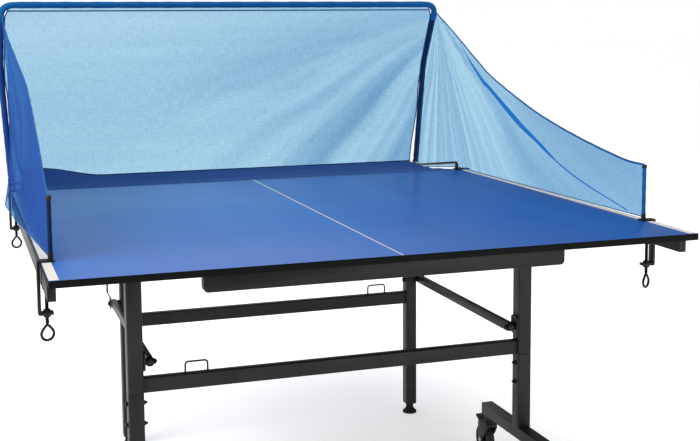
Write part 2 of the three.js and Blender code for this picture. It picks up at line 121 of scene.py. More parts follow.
def between(table: Profile, value: float) -> float:
    """Height of a smooth line through a few (station, height) pairs.

    Args:
        table: the pairs, with rising stations.
        value: the station asked for.

    Returns:
        The height there.
    """
    if value <= table[0][0]:
        return table[0][1]
    for (a, low), (b, high) in zip(table, table[1:]):
        if value <= b:
            return low + (high - low) * smoothstep(a, b, value)
    return table[-1][1]


class Route:
    """Smooth curve through points, followed by the share of its length."""

    def __init__(self, points: Sequence[Vector], steps: int = 12) -> None:
        """Lay the curve.

        Args:
            points: the points that it passes through.
            steps: how many short runs stand for the curve between two points.
        """
        held = [points[0] * 2 - points[1], *points, points[-1] * 2 - points[-2]]
        self.trace = [points[0].copy()]
        for a, b, c, d in zip(held, held[1:], held[2:], held[3:]):
            for i in range(1, steps + 1):
                t = i / steps
                bend = (a * 2 - b * 5 + c * 4 - d) * t**2 + (b * 3 - a - c * 3 + d) * t**3
                self.trace.append((b * 2 + (c - a) * t + bend) / 2)
        self.reach = [0.0]
        for here, there in zip(self.trace, self.trace[1:]):
            self.reach.append(self.reach[-1] + (there - here).length)

    def __call__(self, share: float) -> Vector:
        """Point at a share of the whole length, from 0 to 1.

        Args:
            share: how far along, as a share of the length.

        Returns:
            The point, in metres.
        """
        goal = min(1.0, max(0.0, share)) * self.reach[-1]
        for i, (low, high) in enumerate(zip(self.reach, self.reach[1:])):
            if goal <= high:
                t = (goal - low) / max(high - low, 1e-9)
                return self.trace[i].lerp(self.trace[i + 1], t)
        return self.trace[-1].copy()

    @property
    def length(self) -> float:
        """Length of the whole curve in metres."""
        return self.reach[-1]


def filleted(points: Sequence[Vector], radius: float, steps: int = 8) -> list[Vector]:
    """Path of straight runs with a rounded turn at each inner corner.

    Args:
        points: the corners.
        radius: how far before and after a corner its turn starts and ends, in millimetres.
        steps: the number of short runs in each turn.

    Returns:
        The points of the path.
    """
    path = [points[0]]
    for before, corner, after in zip(points, points[1:], points[2:]):
        start = corner + (before - corner).normalized() * radius * MM
        end = corner + (after - corner).normalized() * radius * MM
        for i in range(steps + 1):
            t = i / steps
            path.append(start * (1 - t) ** 2 + corner * 2 * t * (1 - t) + end * t**2)
    path.append(points[-1])
    return path


def arc(y: float, z: float, radius: float, start: float, end: float, steps: int = 8) -> list[Place]:
    """Points round part of a circle, from one angle in degrees to another."""
    turns = [math.radians(start + (end - start) * i / steps) for i in range(steps + 1)]
    return [(y + radius * math.cos(a), z + radius * math.sin(a)) for a in turns]


# ---- shapes -----------------------------------------------------------------------------------


def verts_of(grown: dict[str, list[Any]]) -> list[bmesh.types.BMVert]:
    """Only the vertices of what an operator made."""
    return [g for g in grown["geom"] if isinstance(g, bmesh.types.BMVert)]


def soften(shape: Mesh, radius: float, segments: int = 2, sharpest: float = 30.0) -> Mesh:
    """Round every edge that turns by more than an angle.

    Args:
        shape: the solid.
        radius: size of the rounding in millimetres.
        segments: faces across the rounding.
        sharpest: the largest turn, in degrees, that stays as it is.

    Returns:
        The same solid.
    """
    limit = math.radians(sharpest)
    edges = [e for e in shape.edges if e.is_manifold and e.calc_face_angle(0.0) > limit]
    bmesh.ops.bevel(
        shape,
        geom=edges,
        offset=radius * MM,
        segments=segments,
        profile=0.5,
        affect="EDGES",
        material=-1,
        clamp_overlap=True,
    )
    return shape


def block(low: Vector, high: Vector, radius: float = 0.6, segments: int = 2) -> Mesh:
    """Rectangular solid between two corners with rounded edges.

    Args:
        low: one corner.
        high: the opposite corner.
        radius: size of the rounding in millimetres.
        segments: faces across the rounding.

    Returns:
        The closed solid.
    """
    shape = bmesh.new()
    bmesh.ops.create_cube(shape, size=1.0)
    size = Vector([abs(b - a) for a, b in zip(low, high)])
    bmesh.ops.scale(shape, vec=size, verts=shape.verts)
    bmesh.ops.translate(shape, vec=(low + high) / 2, verts=shape.verts)
    return soften(shape, radius, segments) if radius > 0 else shape


def tube_bar(low: Vector, high: Vector, along: int, corner: float = 3.0, rim: float = 0.5) -> Mesh:
    """Length of rectangular steel tube with its drawn corners and cut ends.

    Args:
        low: one corner.
        high: the opposite corner.
        along: which axis the tube runs along, 0 to 2.
        corner: outside radius of the tube's corners in millimetres.
        rim: size of the broken edge at the cut ends in millimetres.

    Returns:
        The closed solid.
    """
    shape = block(low, high, radius=0.0)
    runs = [e for e in shape.edges if abs((e.verts[0].co - e.verts[1].co).normalized()[along]) > 0.9]
    bmesh.ops.bevel(
        shape, geom=runs, offset=corner * MM, segments=4, profile=0.5, affect="EDGES", material=-1
    )
    return soften(shape, rim, 2, sharpest=60.0)


def prism(corners: Sequence[Vector], depth: Vector, radius: float = 0.5, segments: int = 2) -> Mesh:
    """Flat outline given a thickness, with rounded edges.

    Args:
        corners: the outline.
        depth: its thickness and direction.
        radius: size of the rounding in millimetres.
        segments: faces across the rounding.

    Returns:
        The closed solid.
    """
    shape = bmesh.new()
    face = shape.faces.new([shape.verts.new(c) for c in corners])
    grown = bmesh.ops.extrude_face_region(shape, geom=[face])
    bmesh.ops.translate(shape, vec=depth, verts=verts_of(grown))
    bmesh.ops.recalc_face_normals(shape, faces=shape.faces)
    return soften(shape, radius, segments) if radius > 0 else shape


def plate(outline: Profile, x0: float, x1: float, radius: float = 0.5) -> Mesh:
    """Plate across the table, drawn as (back, up) corners between two stations in millimetres."""
    return prism([at(x0, y, z) for y, z in outline], Vector(((x1 - x0) * MM, 0.0, 0.0)), radius)


def facing(shape: Mesh, foot: Vector, heading: Vector) -> Mesh:
    """Turn a shape built on +Z towards a heading and stand it on a point.

    Args:
        shape: the shape, which is changed.
        foot: where its origin goes.
        heading: where its +Z goes.

    Returns:
        The same shape.
    """
    turn = Z_AXIS.rotation_difference(heading).to_matrix().to_4x4()
    bmesh.ops.transform(shape, matrix=Matrix.Translation(foot) @ turn, verts=shape.verts)
    return shape


def turned(profile: Profile, foot: Vector, heading: Vector = Z_AXIS, steps: int = 32) -> Mesh:
    """Solid of revolution.

    Args:
        profile: (radius, height) pairs in millimetres, from the axis back to the axis or closed on itself.
        foot: where height zero stands.
        heading: direction of the axis.
        steps: faces round the solid.

    Returns:
        The closed solid.
    """
    shape = bmesh.new()
    verts = [shape.verts.new((r * MM, 0.0, h * MM)) for r, h in profile]
    edges = [shape.edges.new(pair) for pair in zip(verts, verts[1:])]
    bmesh.ops.spin(
        shape,
        geom=[*verts, *edges],
        cent=(0.0, 0.0, 0.0),
        axis=Z_AXIS,
        dvec=(0.0, 0.0, 0.0),
        angle=math.tau,
        steps=steps,
        use_merge=True,
        use_duplicate=False,
    )
    bmesh.ops.remove_doubles(shape, verts=shape.verts, dist=1e-6)
    bmesh.ops.recalc_face_normals(shape, faces=shape.faces)
    return facing(shape, foot, heading)


def rod(
    path: Sequence[Vector],
    radius: float,
    sides: int = 16,
    thin: float = 1.0,
    flat_to: Vector = X_AXIS,
    swell: Callable[[float], float] | None = None,
) -> Mesh:
    """Round or flattened bar that follows a path, closed at both ends.

    Args:
        path: the points of its middle line.
        radius: half of its width in millimetres.
        sides: faces round the bar.
        thin: share of the width that its thickness has.
        flat_to: the direction that the thin way of a flattened bar faces.
        swell: width at a share of the length as a share of the full width.

    Returns:
        The closed solid.
    """
    shape = bmesh.new()
    ring = bmesh.ops.create_circle(shape, cap_ends=False, radius=radius * MM, segments=sides)["verts"]
    bmesh.ops.scale(shape, vec=(thin, 1.0, 1.0), verts=ring)
    heading = (path[1] - path[0]).normalized()
    across = (flat_to - heading * flat_to.dot(heading)).normalized()
    basis = Matrix((across, heading.cross(across), heading)).transposed().to_4x4()
    bmesh.ops.transform(shape, matrix=Matrix.Translation(path[0]) @ basis, verts=ring)
    widths = [swell(i / (len(path) - 1)) if swell else 1.0 for i in range(len(path))]
    if widths[0] != 1.0:
        narrow = Matrix.Translation(path[0]) @ Matrix.Scale(widths[0], 4) @ Matrix.Translation(-path[0])
        bmesh.ops.transform(shape, matrix=narrow, verts=ring)
    edges = shape.edges[:]
    for i in range(1, len(path)):
        ahead = path[min(i + 1, len(path) - 1)] - path[i - 1]
        if i == len(path) - 1:
            ahead = path[i] - path[i - 1]
        ahead.normalize()
        grown = bmesh.ops.extrude_edge_only(shape, edges=edges)
        new = set(verts_of(grown))
        edges = [g for g in grown["geom"] if isinstance(g, bmesh.types.BMEdge) and set(g.verts) <= new]
        turn = heading.rotation_difference(ahead).to_matrix().to_4x4()
        move = (
            Matrix.Translation(path[i])
            @ turn
            @ Matrix.Scale(widths[i] / widths[i - 1], 4)
            @ Matrix.Translation(-path[i - 1])
        )
        bmesh.ops.transform(shape, matrix=move, verts=list(new))
        heading = ahead
    bmesh.ops.holes_fill(shape, edges=shape.edges, sides=0)
    bmesh.ops.recalc_face_normals(shape, faces=shape.faces)
    return shape


def joined(*parts: Mesh) -> Mesh:
    """Several shapes held as one piece.

    Args:
        parts: the shapes, which are used up.

    Returns:
        The one shape.
    """
    whole = bmesh.new()
    for part in parts:
        held = bpy.data.meshes.new("part")
        part.to_mesh(held)
        part.free()
        whole.from_mesh(held)
        bpy.data.meshes.remove(held)
    return whole


def hex_head(
    foot: Vector, heading: Vector, across: float = 13.0, height: float = 5.5, tip: float = 0.0
) -> Mesh:
    """Hexagon head or nut on a washer, with the end of its thread showing where there is one.

    Args:
        foot: centre of the face that the washer lies on.
        heading: direction that the head points in.
        across: width across flats in millimetres.
        height: height of the hexagon in millimetres.
        tip: length of thread beyond the hexagon in millimetres.

    Returns:
        The washer, the hexagon and the thread.
    """
    thick = 1.4
    reach = across / math.sqrt(3.0)
    hexagon = bmesh.new()
    bmesh.ops.create_cone(
        hexagon, cap_ends=True, segments=6, radius1=reach * MM, radius2=reach * MM, depth=height * MM
    )
    bmesh.ops.translate(hexagon, vec=(0.0, 0.0, (thick + height / 2) * MM), verts=hexagon.verts)
    soften(hexagon, 0.7, 2)
    rim, bulge = reach * 1.22, reach * 1.28
    washer = [(0.0, 0.0), (rim, 0.0), (bulge, thick / 2), (rim, thick), (0.0, thick)]
    parts = [facing(hexagon, foot, heading), turned(washer, foot, heading, 28)]
    if tip > 0:
        core = across * 0.29
        top = thick + height + tip
        thread = [(0.0, thick), (core, thick), (core, top - 1.0), (core - 1.0, top), (0.0, top)]
        parts.append(turned(thread, foot, heading, 18))
    return joined(*parts)


def pan_head(foot: Vector, heading: Vector, radius: float = 4.2) -> Mesh:
    """Domed screw head with a turned recess.

    Args:
        foot: centre of its underside.
        heading: direction that it points in.
        radius: its radius in millimetres.

    Returns:
        The closed head.
    """
    profile = [
        (0.0, 0.0),
        (radius, 0.0),
        (radius, 0.7),
        (radius * 0.86, 1.7),
        (radius * 0.55, 2.2),
        (radius * 0.36, 2.2),
        (radius * 0.26, 1.2),
        (0.0, 1.2),
    ]
    return turned(profile, foot, heading, 18)


def threaded(x: float, y: float, low: float, high: float, radius: float, pitch: float) -> Mesh:
    """Upright threaded bar between two heights in millimetres.

    Args:
        x: place across the table.
        y: place back from the net line.
        low: height of its foot.
        high: height of its top.
        radius: outer radius of the thread.
        pitch: distance between its crests.

    Returns:
        The closed bar.
    """
    profile = [(0.0, 0.0), (radius - 0.8, 0.0)]
    count = int((high - low - 2.0) / pitch)
    for i in range(count):
        level = 1.0 + i * pitch
        profile.append((radius - 0.55, level))
        profile.append((radius, level + pitch / 2))
    profile += [(radius - 0.6, high - low), (0.0, high - low)]
    return turned(profile, at(x, y, low), Z_AXIS, 18)


def end_cap(centre: Vector, heading: Vector, width: float, height: float) -> Mesh:
    """Moulded plug in the end of a rectangular tube, with a shallow field inside its rim.

    Args:
        centre: middle of the tube's end.
        heading: direction out of the tube, along X, Y or -Z.
        width: size of the plug across, in millimetres.
        height: its other size in millimetres.

    Returns:
        The closed plug.
    """
    flange, rim, sunk = 2.0, 4.0, 0.8
    shape = bmesh.new()
    bmesh.ops.create_cube(shape, size=1.0)
    bmesh.ops.scale(shape, vec=(width * MM, height * MM, flange * MM), verts=shape.verts)
    bmesh.ops.translate(shape, vec=(0.0, 0.0, flange / 2 * MM), verts=shape.verts)
    shape.faces.ensure_lookup_table()
    top = [f for f in shape.faces if f.normal.z > 0.9]
    bmesh.ops.inset_region(shape, faces=top, thickness=rim * MM, depth=0.0)
    bmesh.ops.translate(shape, vec=(0.0, 0.0, -sunk * MM), verts=[v for f in top for v in f.verts])
    soften(shape, 0.6, 2, sharpest=20.0)
    return facing(shape, centre, heading)


def cloth(
    surface: Surface,
    size: Place,
    cells: tuple[int, int],
    gather: Callable[[float, float], float] | None = None,
) -> Mesh:
    """Sheet of cloth shaped by a formula, with a map of its real size and how much it is gathered.

    Args:
        surface: point of the sheet at shares of its width and length.
        size: flat width and length in metres, for the map that the weave follows.
        cells: number of cells across and along.
        gather: how bunched the cloth is at shares of its width and length, from 0 to 1.

    Returns:
        The open sheet.
    """
    shape = bmesh.new()
    weave = shape.loops.layers.uv.new("Weave")
    bunched = shape.verts.layers.float.new("gather")
    bmesh.ops.create_grid(shape, x_segments=cells[0], y_segments=cells[1], size=0.5)
    low = min(v.co.x for v in shape.verts)
    span = max(v.co.x for v in shape.verts) - low
    shares = {v: ((v.co.x - low) / span, (v.co.y - low) / span) for v in shape.verts}
    for vert, (u, v) in shares.items():
        vert.co = surface(u, v)
        vert[bunched] = gather(u, v) if gather else 0.0
    for face in shape.faces:
        for loop in face.loops:
            u, v = shares[loop.vert]
            loop[weave].uv = (u * size[0], v * size[1])
    return shape


# ---- finishes ---------------------------------------------------------------------------------

# Several sockets of a Mix node share a name, so the ones that take and give colours are counted.
FACTOR, FIRST, SECOND, MIXED = 0, 6, 7, 2


def linear(colour: str) -> tuple[float, float, float, float]:
    """Scene-linear colour of an sRGB hex value such as 2D63B3.

    Args:
        colour: six hex digits.

    Returns:
        Red, green, blue and an opacity of one.
    """
    shares = [int(colour[i : i + 2], 16) / 255 for i in (0, 2, 4)]
    red, green, blue = (s / 12.92 if s <= 0.04045 else ((s + 0.055) / 1.055) ** 2.4 for s in shares)
    return red, green, blue, 1.0


def add(tree: bpy.types.NodeTree, kind: str, inputs: Inputs | None = None, **settings: Any) -> bpy.types.Node:
    """Add a node to a tree.

    Args:
        tree: the tree that it goes in.
        kind: Blender's name for the node, without ShaderNode.
        inputs: a value or an output socket for each input, by name or number.
        settings: the node's own properties.

    Returns:
        The new node.
    """
    made = tree.nodes.new("ShaderNode" + kind)
    for name, value in settings.items():
        setattr(made, name, value)
    for key, value in (inputs or {}).items():
        if isinstance(value, bpy.types.NodeSocket):
            tree.links.new(value, made.inputs[key])
        else:
            made.inputs[key].default_value = value
    return made


def per(size: float) -> float:
    """Texture scale at which a pattern changes about every so many millimetres."""
    return 1 / (size * MM)


def drift(
    tree: bpy.types.NodeTree,
    pattern: bpy.types.NodeSocket,
    span: Place,
    colours: tuple[str, str],
    most: float = 1.0,
) -> bpy.types.NodeSocket:
    """Colour that drifts from one to another as a pattern rises.

    Args:
        tree: the material's nodes.
        pattern: the number that decides.
        span: levels of the pattern where the drift starts and ends.
        colours: sRGB hex values of both colours.
        most: the largest share of the second colour.

    Returns:
        The colour.
    """
    levels = {"Value": pattern, "From Min": span[0], "From Max": span[1], "To Max": most}
    share = add(tree, "MapRange", levels).outputs[0]
    mix = {FACTOR: share, FIRST: linear(colours[0]), SECOND: linear(colours[1])}
    return add(tree, "Mix", mix, data_type="RGBA").outputs[MIXED]


class Finish:
    """A finish that makes its material once and then hands out the same one."""

    name: str

    def material(self) -> bpy.types.Material:
        """The finish as a material.

        Returns:
            The one made before, or a new one.
        """
        known = bpy.data.materials.get(self.name)
        if known is not None:
            return known
        made = bpy.data.materials.new(self.name)
        made.use_nodes = True
        made.node_tree.nodes.clear()
        add(made.node_tree, "OutputMaterial", {"Surface": self.shade(made.node_tree)})
        return made

    def shade(self, tree: bpy.types.NodeTree) -> bpy.types.NodeSocket:
        """Shader of the finish, from the inputs that it works out."""
        return add(tree, "BsdfPrincipled", self.surface(tree)).outputs["BSDF"]

    def surface(self, tree: bpy.types.NodeTree) -> Inputs:
        """Inputs of the finish's shader."""
        raise NotImplementedError


@dataclass(frozen=True)
class PowderCoat(Finish):
    """Polyester powder coat, sprayed and baked on steel: a dry satin skin with fine orange peel."""

    name: str
    colour: str
    rub: str = "5A5B5E"
    roughness: float = 0.42
    peel: float = 1.8
    cloud: float = 90.0

    def surface(self, tree: bpy.types.NodeTree) -> Inputs:
        """Charcoal skin with orange peel, cloudy depth and rubbed edges.

        Args:
            tree: the material's nodes.

        Returns:
            The shader's inputs.
        """
        spot = add(tree, "TexCoord").outputs["Object"]
        grain = add(tree, "TexNoise", {"Vector": spot, "Scale": per(self.peel), "Detail": 2.0}).outputs["Fac"]
        cloud = add(tree, "TexNoise", {"Vector": spot, "Scale": per(self.cloud), "Detail": 3.0}).outputs[0]
        skin = drift(tree, cloud, (0.35, 0.65), (self.colour, self.rub), 0.30)
        edge = add(tree, "NewGeometry").outputs["Pointiness"]
        sharp = {"Value": edge, "From Min": 0.53, "From Max": 0.60, "To Max": 0.45}
        bare = add(tree, "MapRange", sharp).outputs[0]
        worn = add(tree, "Math", {0: bare, 1: cloud}, operation="MULTIPLY").outputs[0]
        rubbed = {FACTOR: worn, FIRST: skin, SECOND: linear(self.rub)}
        colour = add(tree, "Mix", rubbed, data_type="RGBA").outputs[MIXED]
        gloss = {"To Min": self.roughness - 0.05, "To Max": self.roughness + 0.08}
        rough = add(tree, "MapRange", {"Value": grain, "From Min": 0.3, "From Max": 0.7, **gloss}).outputs[0]
        bump = add(tree, "Bump", {"Height": grain, "Strength": 0.35, "Distance": 0.06 * MM}).outputs["Normal"]
        return {"Base Color": colour, "Roughness": rough, "Normal": bump, "Specular IOR Level": 0.2}


@dataclass(frozen=True)
class RollerCoat(Finish):
    """Acrylic table paint, rolled and cured on wood-fibre board: a satin blue with a faint roller stipple."""

    name: str = "roller_coated_blue"
    colour: str = "0C55A6"
    deep: str = "0B509E"
    stipple: float = 7.0
    lane_width: float = 220.0
    lane_length: float = 1400.0
    patch: float = 260.0

    def surface(self, tree: bpy.types.NodeTree) -> Inputs:
        """Blue paint with roller stipple, faint lanes and dulled patches of play.

        Args:
            tree: the material's nodes.

        Returns:
            The shader's inputs.
        """
        spot = add(tree, "TexCoord").outputs["Object"]
        grain = add(tree, "TexNoise", {"Vector": spot, "Scale": per(self.stipple), "Detail": 2.0}).outputs[0]
        stretch = (per(self.lane_width), per(self.lane_length), 1.0)
        lanes = add(tree, "Mapping", {"Vector": spot, "Scale": stretch}).outputs[0]
        lane = add(tree, "TexNoise", {"Vector": lanes, "Scale": 1.0, "Detail": 2.0}).outputs["Fac"]
        play = add(tree, "TexNoise", {"Vector": spot, "Scale": per(self.patch), "Detail": 1.0}).outputs["Fac"]
        colour = drift(tree, lane, (0.35, 0.65), (self.colour, self.deep))
        gloss = {"To Min": 0.31, "To Max": 0.345}
        rough = add(tree, "MapRange", {"Value": play, "From Min": 0.35, "From Max": 0.65, **gloss}).outputs[0]
        bump = add(tree, "Bump", {"Height": grain, "Strength": 0.1, "Distance": 0.03 * MM}).outputs["Normal"]
        return {"Base Color": colour, "Roughness": rough, "Normal": bump, "Specular IOR Level": 0.42}


@dataclass(frozen=True)
class SealedEdge(Finish):
    """Black edge paint on sawn fibre board: matt, with the fibres just felt along the cut."""

    name: str = "sealed_black_edge"
    colour: str = "050506"
    raised: str = "0E0E0F"
    fibre: float = 0.9

    def surface(self, tree: bpy.types.NodeTree) -> Inputs:
        """Matt black with fibres that run along the edge.

        Args:
            tree: the material's nodes.

        Returns:
            The shader's inputs.
        """
        spot = add(tree, "TexCoord").outputs["Object"]
        drawn = add(tree, "Mapping", {"Vector": spot, "Scale": (0.12, 0.12, 1.0)}).outputs[0]
        fibre = add(tree, "TexNoise", {"Vector": drawn, "Scale": per(self.fibre), "Detail": 4.0}).outputs[0]
        colour = drift(tree, fibre, (0.4, 0.7), (self.colour, self.raised))
        bump = add(tree, "Bump", {"Height": fibre, "Strength": 0.4, "Distance": 0.08 * MM}).outputs["Normal"]
        return {"Base Color": colour, "Roughness": 0.6, "Normal": bump, "Specular IOR Level": 0.08}


@dataclass(frozen=True)
class LinePaint(Finish):
    """White court-line paint, screen printed: chalky, slightly warm, with a thin edge of wear."""

    name: str = "court_line_white"
    colour: str = "D2CCC1"
    scuffed: str = "B4B2AE"
    scuff: float = 14.0

    def surface(self, tree: bpy.types.NodeTree) -> Inputs:
        """Warm white with faint scuffs.

        Args:
            tree: the material's nodes.

        Returns:
            The shader's inputs.
        """
        spot = add(tree, "TexCoord").outputs["Object"]
        scuff = add(tree, "TexNoise", {"Vector": spot, "Scale": per(self.scuff), "Detail": 6.0}).outputs[0]
        colour = drift(tree, scuff, (0.5, 0.75), (self.colour, self.scuffed), 0.6)
        gloss = {"To Min": 0.45, "To Max": 0.6}
        rough = add(tree, "MapRange", {"Value": scuff, "From Min": 0.3, "From Max": 0.7, **gloss}).outputs[0]
        bump = add(tree, "Bump", {"Height": scuff, "Strength": 0.1, "Distance": 0.03 * MM}).outputs["Normal"]
        return {"Base Color": colour, "Roughness": rough, "Normal": bump}


@dataclass(frozen=True)
class PlatedSteel(Finish):
    """Electroplated or blackened steel: a thin metal skin with a patchy tint from its bath."""

    name: str
    colour: str
    tint: str
    roughness: float = 0.32
    patch: float = 11.0
    scratch: float = 0.8

    def surface(self, tree: bpy.types.NodeTree) -> Inputs:
        """Metal with a cloudy tint and fine handling marks.

        Args:
            tree: the material's nodes.

        Returns:
            The shader's inputs.
        """
        spot = add(tree, "TexCoord").outputs["Object"]
        cloud = add(tree, "TexNoise", {"Vector": spot, "Scale": per(self.patch), "Detail": 3.0}).outputs[0]
        mark = add(tree, "TexNoise", {"Vector": spot, "Scale": per(self.scratch), "Detail": 3.0}).outputs[0]
        colour = drift(tree, cloud, (0.35, 0.7), (self.colour, self.tint))
        gloss = {"To Min": self.roughness - 0.06, "To Max": self.roughness + 0.1}
        rough = add(tree, "MapRange", {"Value": mark, "From Min": 0.3, "From Max": 0.7, **gloss}).outputs[0]
        bump = add(tree, "Bump", {"Height": mark, "Strength": 0.2, "Distance": 0.03 * MM}).outputs["Normal"]
        return {"Base Color": colour, "Metallic": 1.0, "Roughness": rough, "Normal": bump}


@dataclass(frozen=True)
class Moulded(Finish):
    """Injection-moulded nylon or vulcanised rubber: black right through, with a spark-eroded grain."""

    name: str
    colour: str
    dust: str
    roughness: float
    grain: float
    drift: float = 22.0

    def surface(self, tree: bpy.types.NodeTree) -> Inputs:
        """Black with moulded grain and a little dust.

        Args:
            tree: the material's nodes.

        Returns:
            The shader's inputs.
        """
        spot = add(tree, "TexCoord").outputs["Object"]
        cell = add(tree, "TexVoronoi", {"Vector": spot, "Scale": per(self.grain)}).outputs["Distance"]
        dust = add(tree, "TexNoise", {"Vector": spot, "Scale": per(self.drift), "Detail": 5.0}).outputs["Fac"]
        colour = drift(tree, dust, (0.45, 0.75), (self.colour, self.dust), 0.7)
        gloss = {"To Min": self.roughness - 0.04, "To Max": self.roughness + 0.08}
        rough = add(tree, "MapRange", {"Value": dust, "From Min": 0.3, "From Max": 0.7, **gloss}).outputs[0]
        bump = add(tree, "Bump", {"Height": cell, "Strength": 0.3, "Distance": 0.06 * MM}).outputs["Normal"]
        return {"Base Color": colour, "Roughness": rough, "Normal": bump, "Specular IOR Level": 0.3}


@dataclass(frozen=True)
class SheerMesh(Finish):
    """Sheer knitted polyester: fine blue threads with open gaps, paler where light passes and deep where it
    lies double; on the left wing the deep tint is also painted shade. The threads are about 0.1 mm, too fine
    to show, so slubs 5 mm apart stand for the weave."""

    name: str = "sheer_knitted_mesh"
    thread: str = "34579F"
    gap: str = "C2EEFF"
    # The packed tint and cover also carry the left wing's painted shade.
    packed_and_shaded_gap: str = "62C3EE"
    cover: float = 0.28
    packed_and_shaded_cover: float = 0.93
    slub: float = 5.0
    slub_length: float = 28.0

    def shade(self, tree: bpy.types.NodeTree) -> bpy.types.NodeSocket:
        """Threads that scatter light, mixed with tinted gaps by the weave and by how bunched the cloth is,
        which on the left wing also carries painted shade.

        Args:
            tree: the material's nodes.

        Returns:
            The shader.
        """
        weave = add(tree, "UVMap", uv_map="Weave").outputs["UV"]
        long, short = per(self.slub_length), per(self.slub)
        warp_map = add(tree, "Mapping", {"Vector": weave, "Scale": (short, long, 1.0)}).outputs[0]
        weft_map = add(tree, "Mapping", {"Vector": weave, "Scale": (long, short, 1.0)}).outputs[0]
        warp = add(tree, "TexNoise", {"Vector": warp_map, "Scale": 1.0, "Detail": 2.0}).outputs["Fac"]
        weft = add(tree, "TexNoise", {"Vector": weft_map, "Scale": 1.0, "Detail": 2.0}).outputs["Fac"]
        threads = add(tree, "Math", {0: warp, 1: weft}, operation="ADD").outputs[0]
        bunched = add(tree, "Attribute", attribute_name="gather").outputs["Fac"]
        uneven = {"From Min": 0.7, "From Max": 1.3, "To Min": -0.07, "To Max": 0.07}
        slubs = add(tree, "MapRange", {"Value": threads, **uneven}).outputs[0]
        covers = {"To Min": self.cover, "To Max": self.packed_and_shaded_cover}
        folds = add(tree, "MapRange", {"Value": bunched, **covers}).outputs[0]
        cover = add(tree, "Math", {0: slubs, 1: folds}, operation="ADD").outputs[0]
        tints = {FACTOR: bunched, FIRST: linear(self.gap), SECOND: linear(self.packed_and_shaded_gap)}
        gaps = add(tree, "Mix", tints, data_type="RGBA").outputs[MIXED]
        scatter = add(tree, "BsdfDiffuse", {"Color": linear(self.thread)}).outputs[0]
        through = add(tree, "BsdfTranslucent", {"Color": linear(self.thread)}).outputs[0]
        thread = add(tree, "MixShader", {0: 0.5, 1: scatter, 2: through}).outputs[0]
        clear = add(tree, "BsdfTransparent", {"Color": gaps}).outputs[0]
        return add(tree, "MixShader", {0: cover, 1: clear, 2: thread}).outputs[0]


@dataclass(frozen=True)
class WovenTape(Finish):
    """Woven polyester binding: a close rib of dyed yarn with a soft sheen, darker in the valleys between ribs
    as painted shade. Such ribs are about 0.7 mm apart, and they are drawn 2 to 3 mm apart so that they show."""

    name: str
    colour: str
    valley_shade_and_fade_colour: str
    rib: float = 2.0
    fade: float = 40.0

    def surface(self, tree: bpy.types.NodeTree) -> Inputs:
        """Dyed ribs with painted shade in their valleys, random darker patches and a fine sheen.

        Args:
            tree: the material's nodes.

        Returns:
            The shader's inputs.
        """
        spot = add(tree, "TexCoord").outputs["Object"]
        slanted = add(tree, "Mapping", {"Vector": spot, "Rotation": (0.6, 0.7, 0.5)}).outputs[0]
        wave = {"Vector": slanted, "Scale": WAVE_PITCH / (self.rib * MM), "Distortion": 1.5, "Detail": 1.0}
        ribs = add(tree, "TexWave", wave).outputs["Fac"]
        fade = add(tree, "TexNoise", {"Vector": spot, "Scale": per(self.fade), "Detail": 3.0}).outputs["Fac"]
        mixed = add(tree, "Math", {0: ribs, 1: fade}, operation="MULTIPLY").outputs[0]
        # The darker colour fills the rib valleys as painted shade and the low patches of the fade noise as
        # random tone.
        colour = drift(tree, mixed, (0.0, 0.6), (self.valley_shade_and_fade_colour, self.colour))
        bump = add(tree, "Bump", {"Height": ribs, "Strength": 0.35, "Distance": 0.15 * MM}).outputs["Normal"]
        sheen = {"Sheen Weight": 0.03, "Sheen Roughness": 0.5, "Specular IOR Level": 0.1}
        return {"Base Color": colour, "Roughness": 0.8, "Normal": bump, **sheen}


@dataclass(frozen=True)
class PaleFloor(Finish):
    """Studio floor: matt near-white that glows a little, so that shadows on it stay soft."""

    name: str = "pale_floor"
    colour: str = "F7F7F7"
    cool: str = "F4F5F6"

    def surface(self, tree: bpy.types.NodeTree) -> Inputs:
        """Near-white with a faint slow change of tint.

        Args:
            tree: the material's nodes.

        Returns:
            The shader's inputs.
        """
        spot = add(tree, "TexCoord").outputs["Object"]
        cloud = add(tree, "TexNoise", {"Vector": spot, "Scale": 0.8, "Detail": 2.0}).outputs["Fac"]
        tints = {FACTOR: cloud, FIRST: linear(self.colour), SECOND: linear(self.cool)}
        colour = add(tree, "Mix", tints, data_type="RGBA").outputs[MIXED]
        return {"Base Color": colour, "Roughness": 0.9, "Emission Color": colour, "Emission Strength": 0.5}


FRAME_COAT = PowderCoat("powder_coat_charcoal", "171718", "2A2B2C")
FITTING_COAT = PowderCoat("powder_coat_black", "0D0D0F", "1E1F21", roughness=0.38, peel=1.2)
BOARD_BLUE = RollerCoat()
BOARD_EDGE = SealedEdge()
COURT_WHITE = LinePaint()
ZINC = PlatedSteel("bright_zinc_plate", "B4B9BE", "A59F8A", roughness=0.3)
BLACK_OXIDE = PlatedSteel("black_oxide_steel", "2A2A2C", "1B1C20", roughness=0.4)
BARE_WELD = PlatedSteel("clear_coated_weld", "8E8D8A", "5F5B55", roughness=0.45)
NYLON = Moulded("moulded_nylon_black", "121213", "2A2A2B", roughness=0.5, grain=0.9)
RUBBER = Moulded("vulcanised_rubber_black", "0D0D0D", "2B2A28", roughness=0.8, grain=1.4)
TREAD = Moulded("caster_tread_grey", "1B1B1C", "3A3937", roughness=0.7, grain=1.6)
MESH = SheerMesh()
TAPE = WovenTape("woven_tape_blue", "0A5B96", "074A80")
# The two darker tapes are copies of the blue tape with painted shade: the mid-blue one for the left upright,
# the navy one for the right upright, the left pole sleeve and the panel's foot seam.
HALF_SHADED_TAPE = WovenTape("woven_tape_painted_half_shade", "173F80", "12346C")
SHADED_TAPE = WovenTape("woven_tape_painted_shade", "0A2A4E", "071D38")


